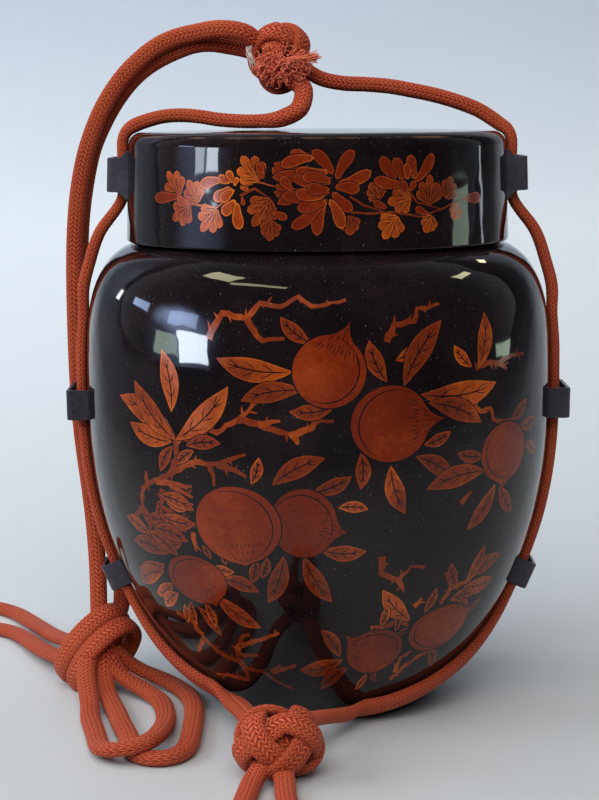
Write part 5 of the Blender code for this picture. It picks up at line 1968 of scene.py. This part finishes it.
def soft_light(name, turn, rise, distance, size, power, colour, diffuse=True, glossy=True,
               aim=(0, 0, 0.2), only=None):
    """An area light that looks at its aim; turn is degrees from the front, + to the right."""
    a, e = radians(turn), radians(rise)
    way = Vector((sin(a) * cos(e), -cos(a) * cos(e), sin(e)))
    lamp = bpy.data.lights.new(name, "AREA")
    lamp.shape = "RECTANGLE"
    lamp.size, lamp.size_y = size
    lamp.energy = power
    lamp.color = colour
    if "haze" in name:
        fade_to_rim(lamp)
    holder = bpy.data.objects.new(name, lamp)
    holder.matrix_world = Matrix.Translation(Vector(aim) + way * distance) @ (
        way.to_track_quat("Z", "Y").to_matrix().to_4x4())
    holder.visible_diffuse = diffuse
    holder.visible_glossy = glossy
    holder.visible_camera = False
    scene.collection.objects.link(holder)
    if only:
        lit = bpy.data.collections.new(name + "_lights")
        lit.objects.link(only)
        holder.light_linking.receiver_collection = lit


# %% Large soft lights
COOL, BLUE, PALE_GREEN, WARM = (0.80, 0.90, 1), (0.48, 0.62, 1), (0.8, 1, 0.8), (1, 0.95, 0.62)
soft_light("front_fill", -10, 38, 2.2, (2.0, 1.4), 38, WHITE, glossy=False)
soft_light("left_key", -75, 25, 2.2, (1.2, 1.2), 25, COOL, glossy=False)
soft_light("ceiling", 0, 88, 2.6, (3.0, 3.0), 34, WHITE, glossy=False)
soft_light("backdrop_light", -60, 25, 2.6, (1.5, 1.5), 44, COOL, glossy=False,
           aim=(-0.9, 2.4, 0.7))
print("lights so far:", len(bpy.data.lights))


# %% Panes that mirror in the lacquer
# Name, what it lights, degrees from the front, degrees up, size, power and colour
PANE_DISTANCE, PANE_GAIN = 2.4, 1.8
PANES = (
    ("main_pane", jar, -61.7, 1.5, (0.72, 0.42), 19.0, COOL),
    ("green_pane", jar, -77.5, 1.1, (0.54, 0.25), 1.6, PALE_GREEN),
    ("upper_pane", jar, -69.0, 12.4, (0.70, 0.36), 4.4, BLUE),
    ("upper_haze", jar, -74.0, 13.0, (1.6, 0.8), 20.0, BLUE),
    ("far_pane", jar, -99.7, 14.2, (0.50, 0.20), 2.2, BLUE),
    ("small_pane", jar, -120.4, 12.5, (0.12, 0.19), 0.7, COOL),
    ("main_haze", jar, -64, 4.0, (1.6, 1.3), 13.0, BLUE),
    ("wide_haze", jar, -70, 6.0, (2.6, 2.0), 9.0, BLUE),
    ("skylight_left", jar, -77.0, 56.4, (0.70, 0.36), 5.0, WARM),
    ("skylight_middle", jar, -40.0, 52.3, (1.10, 0.12), 2.2, WARM),
    ("skylight_right", jar, 101.4, 41.8, (0.47, 0.15), 1.6, WARM),
    ("skylight_far_right", jar, 137.6, 36.5, (0.20, 0.10), 0.5, WARM),
    ("low_pane", jar, 98.9, -3.6, (0.50, 0.14), 0.7, PALE_GREEN),
    ("lid_pane", lid, -64, 6, (0.34, 0.30), 4.2, COOL),
    ("lid_side_pane", lid, -73, 6, (0.30, 0.30), 2.2, COOL),
    ("lid_upper_pane", lid, -84, 12, (0.44, 0.18), 1.6, BLUE),
    ("lid_haze", lid, -73, 2.0, (2.2, 1.5), 10.0, BLUE),
    ("lid_low_pane", lid, 92, -1.0, (0.56, 0.20), 0.7, PALE_GREEN),
    ("lid_edge_pane", lid, 112, 0.0, (0.08, 0.40), 0.25, COOL),
)
for name, only, turn, rise, size, power, colour in PANES:
    soft_light(name, turn, rise, PANE_DISTANCE, size, PANE_GAIN * power, colour,
               diffuse=False, only=only)
print("panes that mirror in the lacquer:", len(PANES))


# %% [markdown]
# ## Sizes
#
# The last step writes the box of the plain solids and the box of what was made here. They could
# be compared by eye, but two boxes in a file show at once whether the dressed jar has kept its
# size.

# %% Sizes
with open("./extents.json", "w") as out:
    json.dump({"cad": [list(p) for p in cad_box], "visual": [list(p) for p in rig.bounds()]}, out)
